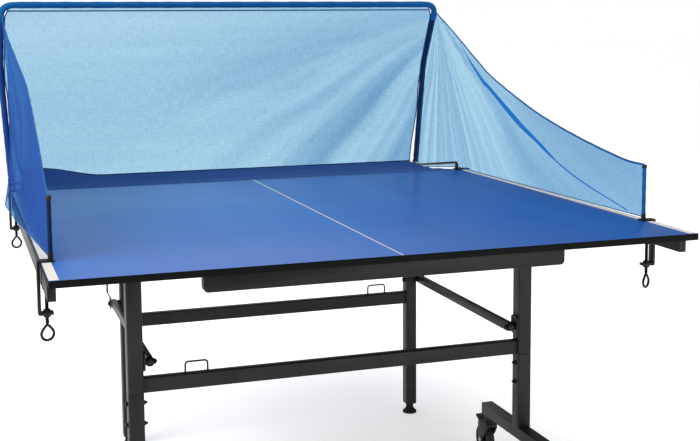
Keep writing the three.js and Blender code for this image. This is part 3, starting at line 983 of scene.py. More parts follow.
def place(
    name: str,
    shape: Mesh,
    finish: Finish,
    body: str,
    replaces: Sequence[str] = (),
    others: Sequence[Finish] = (),
    sharpest: float = 34.0,
) -> bpy.types.Object:
    """Make a shape a finished piece that rides on a body.

    Args:
        name: the piece's name.
        shape: its mesh, already in its place.
        finish: what it is coated with.
        body: the body that it moves with.
        replaces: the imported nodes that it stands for.
        others: finishes of faces that already carry a second or later material number.
        sharpest: the largest turn between faces, in degrees, that is shaded as one curve.

    Returns:
        The new object.
    """
    mesh = bpy.data.meshes.new(name)
    shape.to_mesh(mesh)
    shape.free()
    for coat in (finish, *others):
        mesh.materials.append(coat.material())
    mesh.polygons.foreach_set("use_smooth", [True] * len(mesh.polygons))
    mesh.set_sharp_from_angle(angle=math.radians(sharpest))
    piece = bpy.data.objects.new(name, mesh)
    bpy.context.scene.collection.objects.link(piece)
    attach(piece, body)
    if replaces:
        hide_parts(*replaces)
    LOG.info("%s rides on %s", name, body)
    return piece


# ---- tabletop ---------------------------------------------------------------------------------


@dataclass
class Tabletop:
    """Board with its printed lines, the rails that stiffen it and the four hinge brackets."""

    half: float = 762.5
    depth: float = 1370.0
    top: float = 760.0
    thickness: float = 16.0
    line: float = 20.0
    centre_line: float = 3.0
    line_height: float = 0.15
    rail_height: float = 38.0
    rail_width: float = 18.0
    rail_front: float = 50.0
    rail_back: float = 1366.0
    cross_half: float = 435.0
    cross_front: float = 62.0
    cross_depth: float = 25.0
    cross_height: float = 48.0
    cross_corner: float = 11.0
    screw_stations: tuple[float, ...] = (-384.0, -231.0, -74.0, 84.0, 240.0, 397.0)
    rail_screws: tuple[float, ...] = (120.0, 420.0, 700.0, 980.0, 1240.0)
    post_cheeks: Place = (504.5, 553.5)
    leg_cheeks: Place = (433.0, 480.0)

    @property
    def rail_top(self) -> float:
        """Height where the rails meet the board."""
        return self.top - self.thickness - 0.3

    def build(self) -> None:
        """Make every piece under and on the board."""
        self.build_board()
        self.build_lines()
        self.build_rails()
        self.build_cross_rail()
        for side in Side:
            self.build_hinge("post_hinge", side, *self.post_cheeks)
            self.build_hinge("leg_hinge", side, *self.leg_cheeks)

    def build_board(self) -> None:
        """Painted slab with a sealed edge and underside."""
        low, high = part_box("board")
        slab = block(low, high, radius=1.0, segments=3)
        for face in slab.faces:
            face.material_index = 0 if face.normal.z > 0.95 else 1
        place("painted_board", slab, BOARD_BLUE, "tabletop", ["board"], [BOARD_EDGE])

    def build_lines(self) -> None:
        """Side, end and centre lines as thin printed films."""
        low, high = self.top - 0.2, self.top + self.line_height
        inset, front, gap = 1.5, 6.0, 0.2
        edge, back = self.half - inset, self.depth - 1
        inner, middle_half = edge - self.line, self.centre_line / 2
        films = [
            (-edge, front, -edge + self.line, back),
            (inner, front, edge, back),
            (-edge + self.line + gap, back - self.line, inner - gap, back),
            (-middle_half, inset, middle_half, self.depth - 1.2 - self.line),
        ]
        lines = [block(at(x0, y0, low), at(x1, y1, high), 0.06, 1) for x0, y0, x1, y1 in films]
        place("court_lines", joined(*lines), COURT_WHITE, "tabletop")

    def build_rails(self) -> None:
        """Side and end rails of folded steel, with the screws that hold them."""
        bottom = self.rail_top - self.rail_height
        for side in Side:
            s = side.value
            outer, inner = s * (self.half - 0.5), s * (self.half - 0.5 - self.rail_width)
            rail = tube_bar(
                at(min(outer, inner), self.rail_front, bottom),
                at(max(outer, inner), self.rail_back, self.rail_top),
                along=1,
                corner=1.8,
            )
            name = f"side_rail_{side.label}"
            place(f"folded_{name}", rail, FITTING_COAT, "tabletop", [name])
            heads = [pan_head(at((outer + inner) / 2, y, bottom), -Z_AXIS) for y in self.rail_screws]
            place(f"side_rail_screws_{side.label}", joined(*heads), BLACK_OXIDE, "tabletop")
        low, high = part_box("end_rail")
        rail = tube_bar(low, high, along=0, corner=1.8)
        place("folded_end_rail", rail, FITTING_COAT, "tabletop", ["end_rail"])

    def build_cross_rail(self) -> None:
        """Stiffener near the net line with rounded lower corners and its row of screws."""
        bottom = self.rail_top - self.cross_height
        r = self.cross_corner
        outline = [(-self.cross_half, self.rail_top)]
        outline += arc(-self.cross_half + r, bottom + r, r, 180, 270)
        outline += arc(self.cross_half - r, bottom + r, r, 270, 360)
        outline += [(self.cross_half, self.rail_top)]
        corners = [at(x, self.cross_front, z) for x, z in outline]
        bar = prism(corners, Vector((0.0, self.cross_depth * MM, 0.0)), radius=1.2)
        place("pressed_cross_rail", bar, FITTING_COAT, "tabletop", ["front_cross_rail"])
        middle_line = self.cross_front + self.cross_depth / 2
        heads = [pan_head(at(x, middle_line, bottom), -Z_AXIS, 5.0) for x in self.screw_stations]
        place("cross_rail_screws", joined(*heads), BLACK_OXIDE, "tabletop")

    def build_hinge(self, kind: str, side: Side, inner: float, outer: float) -> None:
        """Bracket under the board with a cheek on each side of a post or leg.

        Args:
            kind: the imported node's name without its side.
            side: which side of the table.
            inner: the bracket's face nearest the middle of the table.
            outer: its other face.
        """
        s = side.value
        name = f"{kind}_{side.label}"
        y = middle(name)[1]
        thick, cheek, half, reach = 3.5, 3.0, 30.0, 13.0
        top = self.rail_top
        outline = [(y - half, top), (y - half, top - thick)]
        outline += arc(y, PIVOT_HEIGHT, reach, 180, 360, 12)
        outline += [(y + half, top - thick), (y + half, top)]
        bracket = joined(
            plate(outline, s * inner, s * (inner + cheek), 0.5),
            plate(outline, s * (outer - cheek), s * outer, 0.5),
            block(
                at(s * (inner + cheek), y - half, top - thick), at(s * (outer - cheek), y + half, top), 0.4
            ),
        )
        place(f"pressed_{name}", bracket, FRAME_COAT, "tabletop", [name])
        screws = [
            pan_head(at(s * x, y + dy, top - thick), -Z_AXIS, 3.6)
            for x in (inner + 12, outer - 12)
            for dy in (-24, 24)
        ]
        place(f"{kind}_screws_{side.label}", joined(*screws), ZINC, "tabletop")


# ---- trolley ----------------------------------------------------------------------------------


@dataclass
class Trolley:
    """Two posts on their foot beams, joined by a bar that carries a wire grip."""

    post_width: float = 39.0
    post_depth: float = 38.0
    post_top: float = 726.0
    seam: float = 366.0
    beam_top: float = 160.0
    beam_width: float = 35.0
    bolt_heights: Place = (340.0, 287.0)

    def build(self) -> None:
        """Make both posts, their beams, the bar and the grip."""
        for side in Side:
            self.build_post(side)
            self.build_beam(side)
            self.build_bracket(side)
            self.build_bolts(side)
        low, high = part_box("trolley_bar")
        place("trolley_cross_bar", tube_bar(low, high, 0), FRAME_COAT, "trolley", ["trolley_bar"])
        build_grip("trolley_handle", "trolley", high.z / MM)

    def centre(self, side: Side) -> tuple[float, float]:
        """Place of a post in the plan, across and back."""
        return middle(f"foot_beam_{side.label}")[0], middle("trolley_bar")[1]

    def build_post(self, side: Side) -> None:
        """Upper post with the hinge bolt at its top.

        Args:
            side: which side of the table.
        """
        s = side.value
        x, y = self.centre(side)
        w, d = self.post_width / 2, self.post_depth / 2
        post = tube_bar(at(x - w, y - d, self.seam + 0.5), at(x + w, y + d, self.post_top), 2, corner=4.0)
        name = f"post_upper_{side.label}"
        place(f"steel_{name}", post, FRAME_COAT, "trolley", [name])
        head = [(0, 0), (8, 0), (8, 2.4), (7.2, 3.0), (0, 3.0)]
        bolt = joined(
            rod([at(s * 502, y, PIVOT_HEIGHT), at(s * 556, y, PIVOT_HEIGHT)], PIN_RADIUS),
            turned(head, at(s * 504.2, y, PIVOT_HEIGHT), X_AXIS * -s, 24),
            hex_head(at(s * 553.6, y, PIVOT_HEIGHT), X_AXIS * s, 12.0, 4.6),
        )
        place(f"post_hinge_bolt_{side.label}", bolt, BLACK_OXIDE, "trolley")

    def build_beam(self, side: Side) -> None:
        """Lower post welded to the foot beam, with plugs in the beam's open ends.

        Args:
            side: which side of the table.
        """
        x, y = self.centre(side)
        w, d = self.post_width / 2, self.post_depth / 2
        half = self.beam_width / 2
        low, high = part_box(f"foot_beam_{side.label}")
        front, back = (low.y - NET_LINE) / MM, (high.y - NET_LINE) / MM
        underside = low.z / MM
        stub = tube_bar(at(x - w, y - d, self.beam_top - 2), at(x + w, y + d, self.seam - 0.3), 2, corner=4.0)
        beam = tube_bar(at(x - half, front + 2, underside), at(x + half, back - 2, self.beam_top), 1)
        rise = self.beam_top + 0.5
        welds = []
        for start, end in (((-w, -d), (w, -d)), ((w, d), (-w, d))):
            stations = [start[0] + (end[0] - start[0]) * t for t in (0, 0.25, 0.5, 0.75, 1)]
            run = [at(x + across, y + start[1], rise) for across in stations]
            welds.append(rod(run, 2.1, 10, swell=lambda t: 1.0 + 0.18 * math.sin(40 * t)))
        name = f"foot_beam_{side.label}"
        place(f"welded_{name}", joined(stub, beam), FRAME_COAT, "trolley", [name])
        place(f"post_weld_{side.label}", joined(*welds), BARE_WELD, "trolley")
        middle_height = (underside + self.beam_top) / 2
        plug = self.beam_width - 0.6
        ends = ((front + 2, -Y_AXIS), (back - 2, Y_AXIS))
        plugs = [end_cap(at(x, y_end, middle_height), heading, plug, plug) for y_end, heading in ends]
        place(f"beam_plugs_{side.label}", joined(*plugs), NYLON, "trolley")

    def build_bracket(self, side: Side) -> None:
        """Plate on the post's inner face with the bolt that the strut turns on.

        Args:
            side: which side of the table.
        """
        s = side.value
        _, y = self.centre(side)
        half, corner = 10.0, 8.0
        low, high = LINK_HEIGHT - 12, LINK_HEIGHT + 22
        outline = arc(y - half, high, corner, 180, 90, 4)
        outline += arc(y + half, high, corner, 90, 0, 4)
        outline += arc(y + half, low, corner, 0, -90, 4)
        outline += arc(y - half, low, corner, -90, -180, 4)
        spacer = [(0, 0), (8.6, 0), (9, 0.6), (9, 5.2), (8.6, 5.8), (0, 5.8)]
        bracket = joined(
            plate(outline, s * 504.2, s * 509.2),
            turned(spacer, at(s * 504.2, y, LINK_HEIGHT), X_AXIS * -s),
            rod([at(s * 478, y, LINK_HEIGHT), at(s * 505, y, LINK_HEIGHT)], PIN_RADIUS),
            hex_head(at(s * 483.5, y, LINK_HEIGHT), X_AXIS * -s, 13.0, 6.0, tip=3.0),
        )
        name = f"strut_bracket_{side.label}"
        place(f"welded_{name}", bracket, FITTING_COAT, "trolley", [name])

    def build_bolts(self, side: Side) -> None:
        """Two bolts through the lower post that clamp the upper one in it.

        Args:
            side: which side of the table.
        """
        x, y = self.centre(side)
        half = self.post_width / 2
        parts = []
        for height in self.bolt_heights:
            for heading in (-X_AXIS, X_AXIS):
                foot = at(x + heading.x * half, y, height)
                tip = 5.0 if heading.x * side.value < 0 else 0.0
                parts.append(hex_head(foot, heading, 10.0, 4.0, tip))
        place(f"post_clamp_bolts_{side.label}", joined(*parts), BLACK_OXIDE, "trolley")


def build_grip(name: str, body: str, bar_top: float) -> None:
    """Bent wire grip welded upright on a cross bar.

    Args:
        name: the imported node's name.
        body: the body that it rides on.
        bar_top: height of the bar's top face in millimetres.
    """
    x, y, _ = middle(name)
    low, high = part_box(name)
    wire = 2.4
    half = (high.x - low.x) / 2 / MM - wire
    rise = high.z / MM - wire
    foot = bar_top + 0.3
    corners = [at(x - half, y, foot), at(x - half, y, rise), at(x + half, y, rise), at(x + half, y, foot)]
    loop = rod(filleted(corners, 9.0, 10), wire, 16)
    beads = [
        turned([(0, 0), (4.2, 0), (3.8, 1.0), (2.9, 1.8), (0, 1.8)], at(x + dx, y, bar_top + 0.2), Z_AXIS, 18)
        for dx in (-half, half)
    ]
    place(f"wire_{name}", joined(loop, *beads), FITTING_COAT, body, [name])


# ---- casters ----------------------------------------------------------------------------------


@dataclass
class Caster:
    """Braked swivel caster under a foot beam."""

    side: Side
    end: End
    wheel_radius: float = 44.0
    wheel_half: float = 11.0
    trail: float = 28.0
    pin_back: float = 11.0
    pin_height: float = 98.0
    ribs: int = 6

    def build(self) -> None:
        """Make the fork, the wheel and the brake pedal."""
        key = f"{self.end.value}_{self.side.label}"
        x, axle, _ = middle(f"caster_wheel_{key}")
        self.build_fork(key, x, axle)
        self.build_wheel(key, x, axle)
        self.build_pedal(key, x, axle + self.pin_back)

    def build_fork(self, key: str, x: float, axle: float) -> None:
        """Swivel neck, hood and cheeks with the axle's ends and the rivets of the pedal.

        Args:
            key: end and side of the table, as they stand in the names.
            x: place across the table.
            axle: how far back the axle lies.
        """
        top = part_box(f"caster_fork_{key}")[1].z / MM
        y, r, pin, height = axle - self.trail, self.wheel_radius, axle + self.pin_back, self.pin_height
        cheek = [(y - 17, 103), (y - 17, 92), (y - 8, 76)]
        cheek += arc(axle, r, 11, 165, 375, 10)
        cheek += [(axle + 16, 92), (axle + 16, 103)]
        neck = [(0, 103), (16, 103), (17, 104), (17, 108), (13, 111), (13, 116), (16.4, 117), (17, 118)]
        neck += [(17, top), (0, top)]
        hood = [(y - 17, 92), (y - 17, 100), (y - 13, 104)]
        hood += [(axle + 2, 104), (axle + 4, 102), (axle + 4, 92)]
        fork = joined(
            turned(neck, at(x, y, 0), Z_AXIS, 32),
            plate(hood, x - 13.4, x + 13.4, 0.8),
            plate(cheek, x - 17, x - 13.5, 0.8),
            plate(cheek, x + 13.5, x + 17, 0.8),
        )
        name = f"caster_fork_{key}"
        place(f"moulded_{name}", fork, NYLON, f"caster_{key}", [name])
        rivet = [(0, 0), (3.6, 0), (3.4, 1.2), (2.2, 2.0), (0, 2.3)]
        axle_end = [(0, 0), (6.2, 0), (6.2, 1.0), (5.0, 2.4), (3.0, 2.9), (0, 3.0)]
        pins = [
            rod([at(x - 17.2, axle, r), at(x + 17.2, axle, r)], 3.9),
            rod([at(x - 17.2, pin, height), at(x + 17.2, pin, height)], 1.9, 12),
        ]
        for way in (-1, 1):
            pins.append(turned(axle_end, at(x + way * 17, axle, r), X_AXIS * way, 20))
            pins.append(turned(rivet, at(x + way * 17, pin, height), X_AXIS * way, 16))
        place(f"caster_rivets_{key}", joined(*pins), ZINC, f"caster_{key}")

    def build_wheel(self, key: str, x: float, axle: float) -> None:
        """Hub with ribs and a rounded tread.

        Args:
            key: end and side of the table, as they stand in the names.
            x: place across the table.
            axle: how far back the axle lies.
        """
        r, w = self.wheel_radius, self.wheel_half
        centre = at(x, axle, r)
        tread = [(30.2, -w + 1.4)]
        tread += arc(r - 4, -w + 4, 4, -90, 0, 5)
        tread += arc(r - 4, w - 4, 4, 0, 90, 5)
        tread += [(30.2, w - 1.4), (30.2, -w + 1.4)]
        name = f"caster_wheel_{key}"
        tyre = turned(tread, centre, X_AXIS, 48)
        place(f"turned_{name}", tyre, TREAD, f"wheel_{key}", [name])
        hub = [(4.4, -12.5), (9, -12.5), (10, -11.5), (10, -6), (26, -5), (27, -w + 2), (30, -w + 2)]
        hub += [(30, w - 2), (27, w - 2), (26, 5), (10, 6), (10, 11.5), (9, 12.5), (4.4, 12.5), (4.4, -12.5)]
        parts = [turned(hub, centre, X_AXIS, 48)]
        for i in range(self.ribs):
            angle = math.tau * i / self.ribs
            out = Vector((0.0, math.cos(angle), math.sin(angle)))
            rib = block(Vector((-8.5, -1.2, 9.0)) * MM, Vector((8.5, 1.2, 27.5)) * MM, 0.5)
            parts.append(facing(rib, centre, out))
        place(f"wheel_hub_{key}", joined(*parts), NYLON, f"wheel_{key}")

    def build_pedal(self, key: str, x: float, pin: float) -> None:
        """Brake pedal with three grip ribs.

        Args:
            key: end and side of the table, as they stand in the names.
            x: place across the table.
            pin: how far back its pin lies.
        """
        lever = [(pin - 3, 95.5), (pin + 4, 95), (pin + 24, 101), (pin + 30, 106)]
        lever += [(pin + 29, 109), (pin + 2, 102), (pin - 3, 101)]
        half = 12.6
        eye = rod([at(x - half, pin, self.pin_height), at(x + half, pin, self.pin_height)], 4.6, 20)
        parts = [plate(lever, x - half, x + half, 0.9), eye]
        for step in (12.0, 17.0, 22.0):
            y, z = pin + 2 + step, 102 + step * 7 / 27
            parts.append(rod([at(x - 10, y, z), at(x + 10, y, z)], 1.1, 10))
        name = f"caster_pedal_{key}"
        place(f"ribbed_{name}", joined(*parts), NYLON, f"pedal_{key}", [name])


# ---- folding legs -----------------------------------------------------------------------------


@dataclass
class FoldingLegs:
    """Rear legs with their straps, feet, bar and grip."""

    width: float = 35.0
    depth: float = 36.0
    top: float = 726.0
    bottom: float = 32.0

    def build(self) -> None:
        """Make both legs and what joins them."""
        for side in Side:
            self.build_leg(side)
            self.build_strap(side)
            self.build_foot(side)
        low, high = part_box("leg_bar")
        place("leg_cross_bar", tube_bar(low, high, 0), FRAME_COAT, "legs", ["leg_bar"])
        build_grip("leg_handle", "legs", high.z / MM)

    def build_leg(self, side: Side) -> None:
        """Square tube leg with a moulded ferrule at its foot.

        Args:
            side: which side of the table.
        """
        x, y, _ = middle(f"rear_leg_{side.label}")
        w, d = self.width / 2, self.depth / 2
        leg = tube_bar(at(x - w, y - d, self.bottom + 2), at(x + w, y + d, self.top), 2, corner=3.6)
        name = f"rear_leg_{side.label}"
        place(f"steel_{name}", leg, FRAME_COAT, "legs", [name])
        ferrule = tube_bar(
            at(x - w + 0.4, y - d + 0.4, self.bottom), at(x + w - 0.4, y + d - 0.4, self.bottom + 2), 2
        )
        place(f"leg_ferrule_{side.label}", ferrule, NYLON, "legs")

    def build_strap(self, side: Side) -> None:
        """Joggled strap from the hinge bolt down to the strut bolt, with both bolts.

        Args:
            side: which side of the table.
        """
        s = side.value
        _, y, _ = middle(f"rear_leg_{side.label}")
        inner, outer, thick, half = 500.0, 508.5, 3.5, 12.0
        low, high = LINK_HEIGHT - 14, PIVOT_HEIGHT + 12
        jog_low, jog_high = LINK_HEIGHT + 20, LINK_HEIGHT + 34
        outline = [(inner, low), (inner + thick, low), (inner + thick, jog_low), (outer + thick, jog_high)]
        outline += [(outer + thick, high), (outer, high), (outer, jog_high), (inner, jog_low)]
        blade = prism([at(s * x, y - half, z) for x, z in outline], Vector((0.0, 2 * half * MM, 0.0)), 0.8)
        washer = [(0, 0), (9, 0), (9, 9.2), (0, 9.2)]
        spacer = [(0, 0), (8, 0), (8, 28), (0, 28)]
        strap = joined(
            blade,
            rod([at(s * 434, y, LINK_HEIGHT), at(s * 501, y, LINK_HEIGHT)], PIN_RADIUS),
            rod([at(s * 426, y, PIVOT_HEIGHT), at(s * 509, y, PIVOT_HEIGHT)], PIN_RADIUS),
            hex_head(at(s * 438.8, y, LINK_HEIGHT), X_AXIS * -s, 12.0, 5.0),
            turned(washer, at(s * 474.4, y, LINK_HEIGHT), X_AXIS * s, 24),
            hex_head(at(s * 503.5, y, LINK_HEIGHT), X_AXIS * s, 12.0, 4.0),
            hex_head(at(s * 432.8, y, PIVOT_HEIGHT), X_AXIS * -s, 12.0, 5.0),
            turned(spacer, at(s * 480.4, y, PIVOT_HEIGHT), X_AXIS * s, 24),
            hex_head(at(s * 512, y, PIVOT_HEIGHT), X_AXIS * s, 12.0, 4.0),
        )
        name = f"leg_strap_{side.label}"
        place(f"joggled_{name}", strap, FITTING_COAT, "legs", [name])

    def build_foot(self, side: Side) -> None:
        """Levelling foot with a ribbed collar on a plated stem.

        Args:
            side: which side of the table.
        """
        name = f"levelling_foot_{side.label}"
        x, y, _ = middle(name)
        body = [(0, 0), (21, 0), (22.2, 0.8), (22.5, 2.2), (22.5, 5), (21.6, 6.6), (19.5, 9), (16, 12.4)]
        body += [(14, 15), (12.4, 18), (12, 21), (11.4, 21.6), (12, 22.4), (12, 25), (11.4, 25.6)]
        body += [(12, 26.4), (12, 29), (11, 30), (0, 30)]
        foot = turned(body, at(x, y, 0), Z_AXIS, 40)
        place(f"turned_{name}", foot, RUBBER, name, [name])
        stem = threaded(x, y, 30.0, 66.0, 5.0, 1.5)
        place(f"foot_stem_{side.label}", stem, ZINC, name)


@dataclass
class Strut:
    """Flat tube strut from a post to a leg."""

    side: Side
    radius: float = 12.5
    inner: float = 484.0
    thickness: float = 14.0

    def build(self) -> None:
        """Round-ended bar."""
        s = self.side.value
        front, back = middle("trolley_bar")[1], middle("leg_bar")[1]
        outline = arc(back, LINK_HEIGHT, self.radius, -90, 90, 12)
        outline += arc(front, LINK_HEIGHT, self.radius, 90, 270, 12)
        bar = plate(outline, s * self.inner, s * (self.inner + self.thickness), 1.6)
        name = f"strut_{self.side.label}"
        place(f"round_ended_{name}", bar, FRAME_COAT, name, [name])


# ---- net frame --------------------------------------------------------------------------------


@dataclass
class NetClamp:
    """C-shaped clamp over the side edge, with its screw."""

    side: Side
    end: End
    socket: float
    plate_inner: float
    eye_heading: float
    half: float = 14.0
    arm: float = 764.5
    arm_thickness: float = 7.0
    jaw: float = 650.0
    screw_x: float = 752.0
    surface: float = 760.2

    def build(self) -> None:
        """Make the pressed body and the screw."""
        key = f"{self.end.value}_{self.side.label}"
        _, y, _ = middle(f"net_clamp_{key}")
        s = self.side.value
        h = self.half - 4
        outer = self.arm + self.arm_thickness
        top = self.surface + 4
        outline = [(self.plate_inner, self.surface), (self.arm, self.surface), (self.arm, self.jaw)]
        outline += [(self.screw_x - 14, self.jaw), (self.screw_x - 14, self.jaw - 7)]
        outline += arc(outer - 4, self.jaw - 3, 4, -90, 0, 5)
        outline += arc(outer - 3, top - 3, 3, 0, 90, 4)
        outline += [(self.plate_inner, top)]
        strap = prism([at(s * x, y - h, z) for x, z in outline], Vector((0.0, 2 * h * MM, 0.0)), 0.7)
        pad = block(
            at(s * self.plate_inner, y - self.half, self.surface),
            at(s * (self.arm - 1), y + self.half, top - 0.4),
            1.2,
            3,
        )
        boss = [(4.6, -12), (7.4, -12), (8, -11), (8, 4), (7.4, 5), (4.6, 5), (4.6, -12)]
        lip = [(4.7, 3.4), (5.9, 3.4), (5.9, 17), (5.4, 18), (4.7, 18), (4.7, 3.4)]
        body = joined(
            strap,
            pad,
            turned(boss, at(s * self.screw_x, y, self.jaw), Z_AXIS, 28),
            turned(lip, at(s * self.socket, y, self.surface), Z_AXIS, 24),
        )
        name = f"net_clamp_{key}"
        place(f"pressed_{name}", body, FITTING_COAT, "tabletop", [name])
        self.build_screw(key, s * self.screw_x, y)

    def build_screw(self, key: str, x: float, y: float) -> None:
        """Threaded screw with a pressure pad and a bent finger eye.

        Args:
            key: end and side of the table, as they stand in the names.
            x: place across the table.
            y: place back from the net line.
        """
        name = f"clamp_screw_{key}"
        pad_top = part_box(name)[1].z / MM
        eye, wire, centre = 14.0, 3.1, 600.0
        across = Vector((math.cos(self.eye_heading), math.sin(self.eye_heading), 0.0))
        loop = [at(x, y, 628)]
        for a, h in arc(0.0, 0.0, 1.0, start=90, end=438, steps=40):
            point = 1.0 + 0.42 * max(0.0, h) ** 7
            loop.append(at(x, y, centre + h * eye * point) + across * a * eye * MM)
        pad = [(0, pad_top - 7), (6, pad_top - 7), (9, pad_top - 4.4), (9.5, pad_top - 3.6)]
        pad += [(9.5, pad_top - 0.6), (9.0, pad_top), (0, pad_top)]
        screw = joined(
            threaded(x, y, 622.0, pad_top - 2, 4.2, 1.5),
            rod(loop, wire, 14),
            turned(pad, at(x, y, 0), Z_AXIS, 28),
        )
        place(f"bent_{name}", screw, BLACK_OXIDE, name, [name])


@dataclass
class NetFrame:
    """Tube frame that holds the net, and the two front poles."""

    tube: float = 8.0
    pole: float = 4.5
    pole_top: float = 905.0
    socket_floor: float = 764.9
    back_clamp: float = 1350.0
    base: tuple[float, float, float] = (739.0, 1766.0, 706.0)
    knee: tuple[float, float, float] = (765.0, 1744.0, 1118.0)
    corner: tuple[float, float, float] = (762.0, 1618.0, 1333.0)
    corner_radius: float = 45.0
    joint: float = 70.0
    arm_x: float = 727.0

    def point(self, name: str, side: Side) -> Vector:
        """One of the named bends on a side, in the frame."""
        x, y, z = getattr(self, name)
        return at(side.value * x, y, z)

    def joint_point(self, side: Side) -> Vector:
        """Where the lower and upper tubes of an upright meet."""
        knee, corner = self.point("knee", side), self.point("corner", side)
        return knee + (corner - knee).normalized() * self.joint * MM

    def top_end(self, side: Side) -> Vector:
        """Where an upright's tube meets the top tube."""
        x, y, z = self.corner
        return at(side.value * (x - self.corner_radius - 15), y, z)

    def build(self) -> None:
        """Make the clamps, poles, arms and tubes."""
        headings = {"front_left": 0.25, "front_right": 0.5, "back_left": 0.2, "back_right": -0.4}
        for side in Side:
            NetClamp(side, End.FRONT, 741.0, 733.0, headings[f"front_{side.label}"]).build()
            NetClamp(side, End.BACK, self.arm_x, 718.0, headings[f"back_{side.label}"]).build()
            self.build_pole(side)
            self.build_arm(side)
            self.build_upright(side)
        reach = self.top_end(Side.RIGHT) - X_AXIS * 0.3 * MM
        tube = rod([Vector((-reach.x, reach.y, reach.z)), reach], self.tube, 28)
        place("drawn_net_top_tube", tube, FITTING_COAT, "tabletop", ["net_top_tube"])

    def build_pole(self, side: Side) -> None:
        """Front pole with its moulded cap.

        Args:
            side: which side of the table.
        """
        name = f"net_pole_{side.label}"
        x, y, _ = middle(name)
        top, foot, r = self.pole_top, self.socket_floor, self.pole
        shaft = [(0, foot), (r - 0.3, foot), (r, foot + 1.1), (r, top - 9), (0, top - 9)]
        pole = turned(shaft, at(x, y, 0), Z_AXIS, 24)
        place(f"drawn_{name}", pole, FITTING_COAT, "tabletop", [name])
        cap = [(0, top - 9), (5.9, top - 9), (6.3, top - 8.4), (6.3, top - 3.4)]
        cap += [(5.6, top - 1.4), (3.6, top - 0.3), (0, top)]
        plug = turned(cap, at(x, y, 0), Z_AXIS, 28)
        place(f"pole_cap_{side.label}", plug, NYLON, "tabletop")

    def build_arm(self, side: Side) -> None:
        """Bent rod from the rear clamp to the tilted sleeve that holds the upright.

        Args:
            side: which side of the table.
        """
        s = side.value
        base, knee = self.point("base", side), self.point("knee", side)
        foot = at(s * self.arm_x, self.back_clamp, self.socket_floor)
        shoulder = foot + Z_AXIS * 20 * MM
        heading = (knee - base).normalized()
        centre = base + heading * 23 * MM
        reach = (centre - shoulder).normalized()
        bar = rod(filleted([foot, shoulder, centre - reach * 9 * MM], 9.0, 8), 4.5, 20)
        wall = [(8.4, 0), (11, 0), (11.5, 0.6), (11.5, 45.4), (11, 46), (8.4, 46), (8.4, 0)]
        sleeve = turned(wall, base, heading, 36)
        name = f"net_arm_{side.label}"
        place(f"bent_{name}", joined(bar, sleeve), FITTING_COAT, "tabletop", [name])
        bolts = [
            hex_head(base + heading * rise * MM - Y_AXIS * 11 * MM, -Y_AXIS, 7.0, 3.0, tip=3.0)
            for rise in (12.0, 34.0)
        ]
        place(f"sleeve_bolts_{side.label}", joined(*bolts), ZINC, "tabletop")

    def build_upright(self, side: Side) -> None:
        """Lower and upper tubes of a rear upright, which meet end to end.

        Args:
            side: which side of the table.
        """
        base, knee, corner = (self.point(n, side) for n in ("base", "knee", "corner"))
        joint = self.joint_point(side)
        lower = rod(filleted([base, knee, joint], 40.0, 10), self.tube, 24)
        name = f"net_upright_lower_{side.label}"
        place(f"drawn_{name}", lower, FITTING_COAT, "tabletop", [name])
        upper = rod(filleted([joint, corner, self.top_end(side)], self.corner_radius, 14), self.tube, 24)
        name = f"net_upright_upper_{side.label}"
        place(f"drawn_{name}", upper, FITTING_COAT, "tabletop", [name])


# ---- net --------------------------------------------------------------------------------------

PANEL_BENDS = [(1762, 746), (1752, 930), (1742, 1090), (1720, 1150), (1624, 1323)]
PANEL_PROFILE = Route([at(0, y, z) for y, z in PANEL_BENDS], 6)


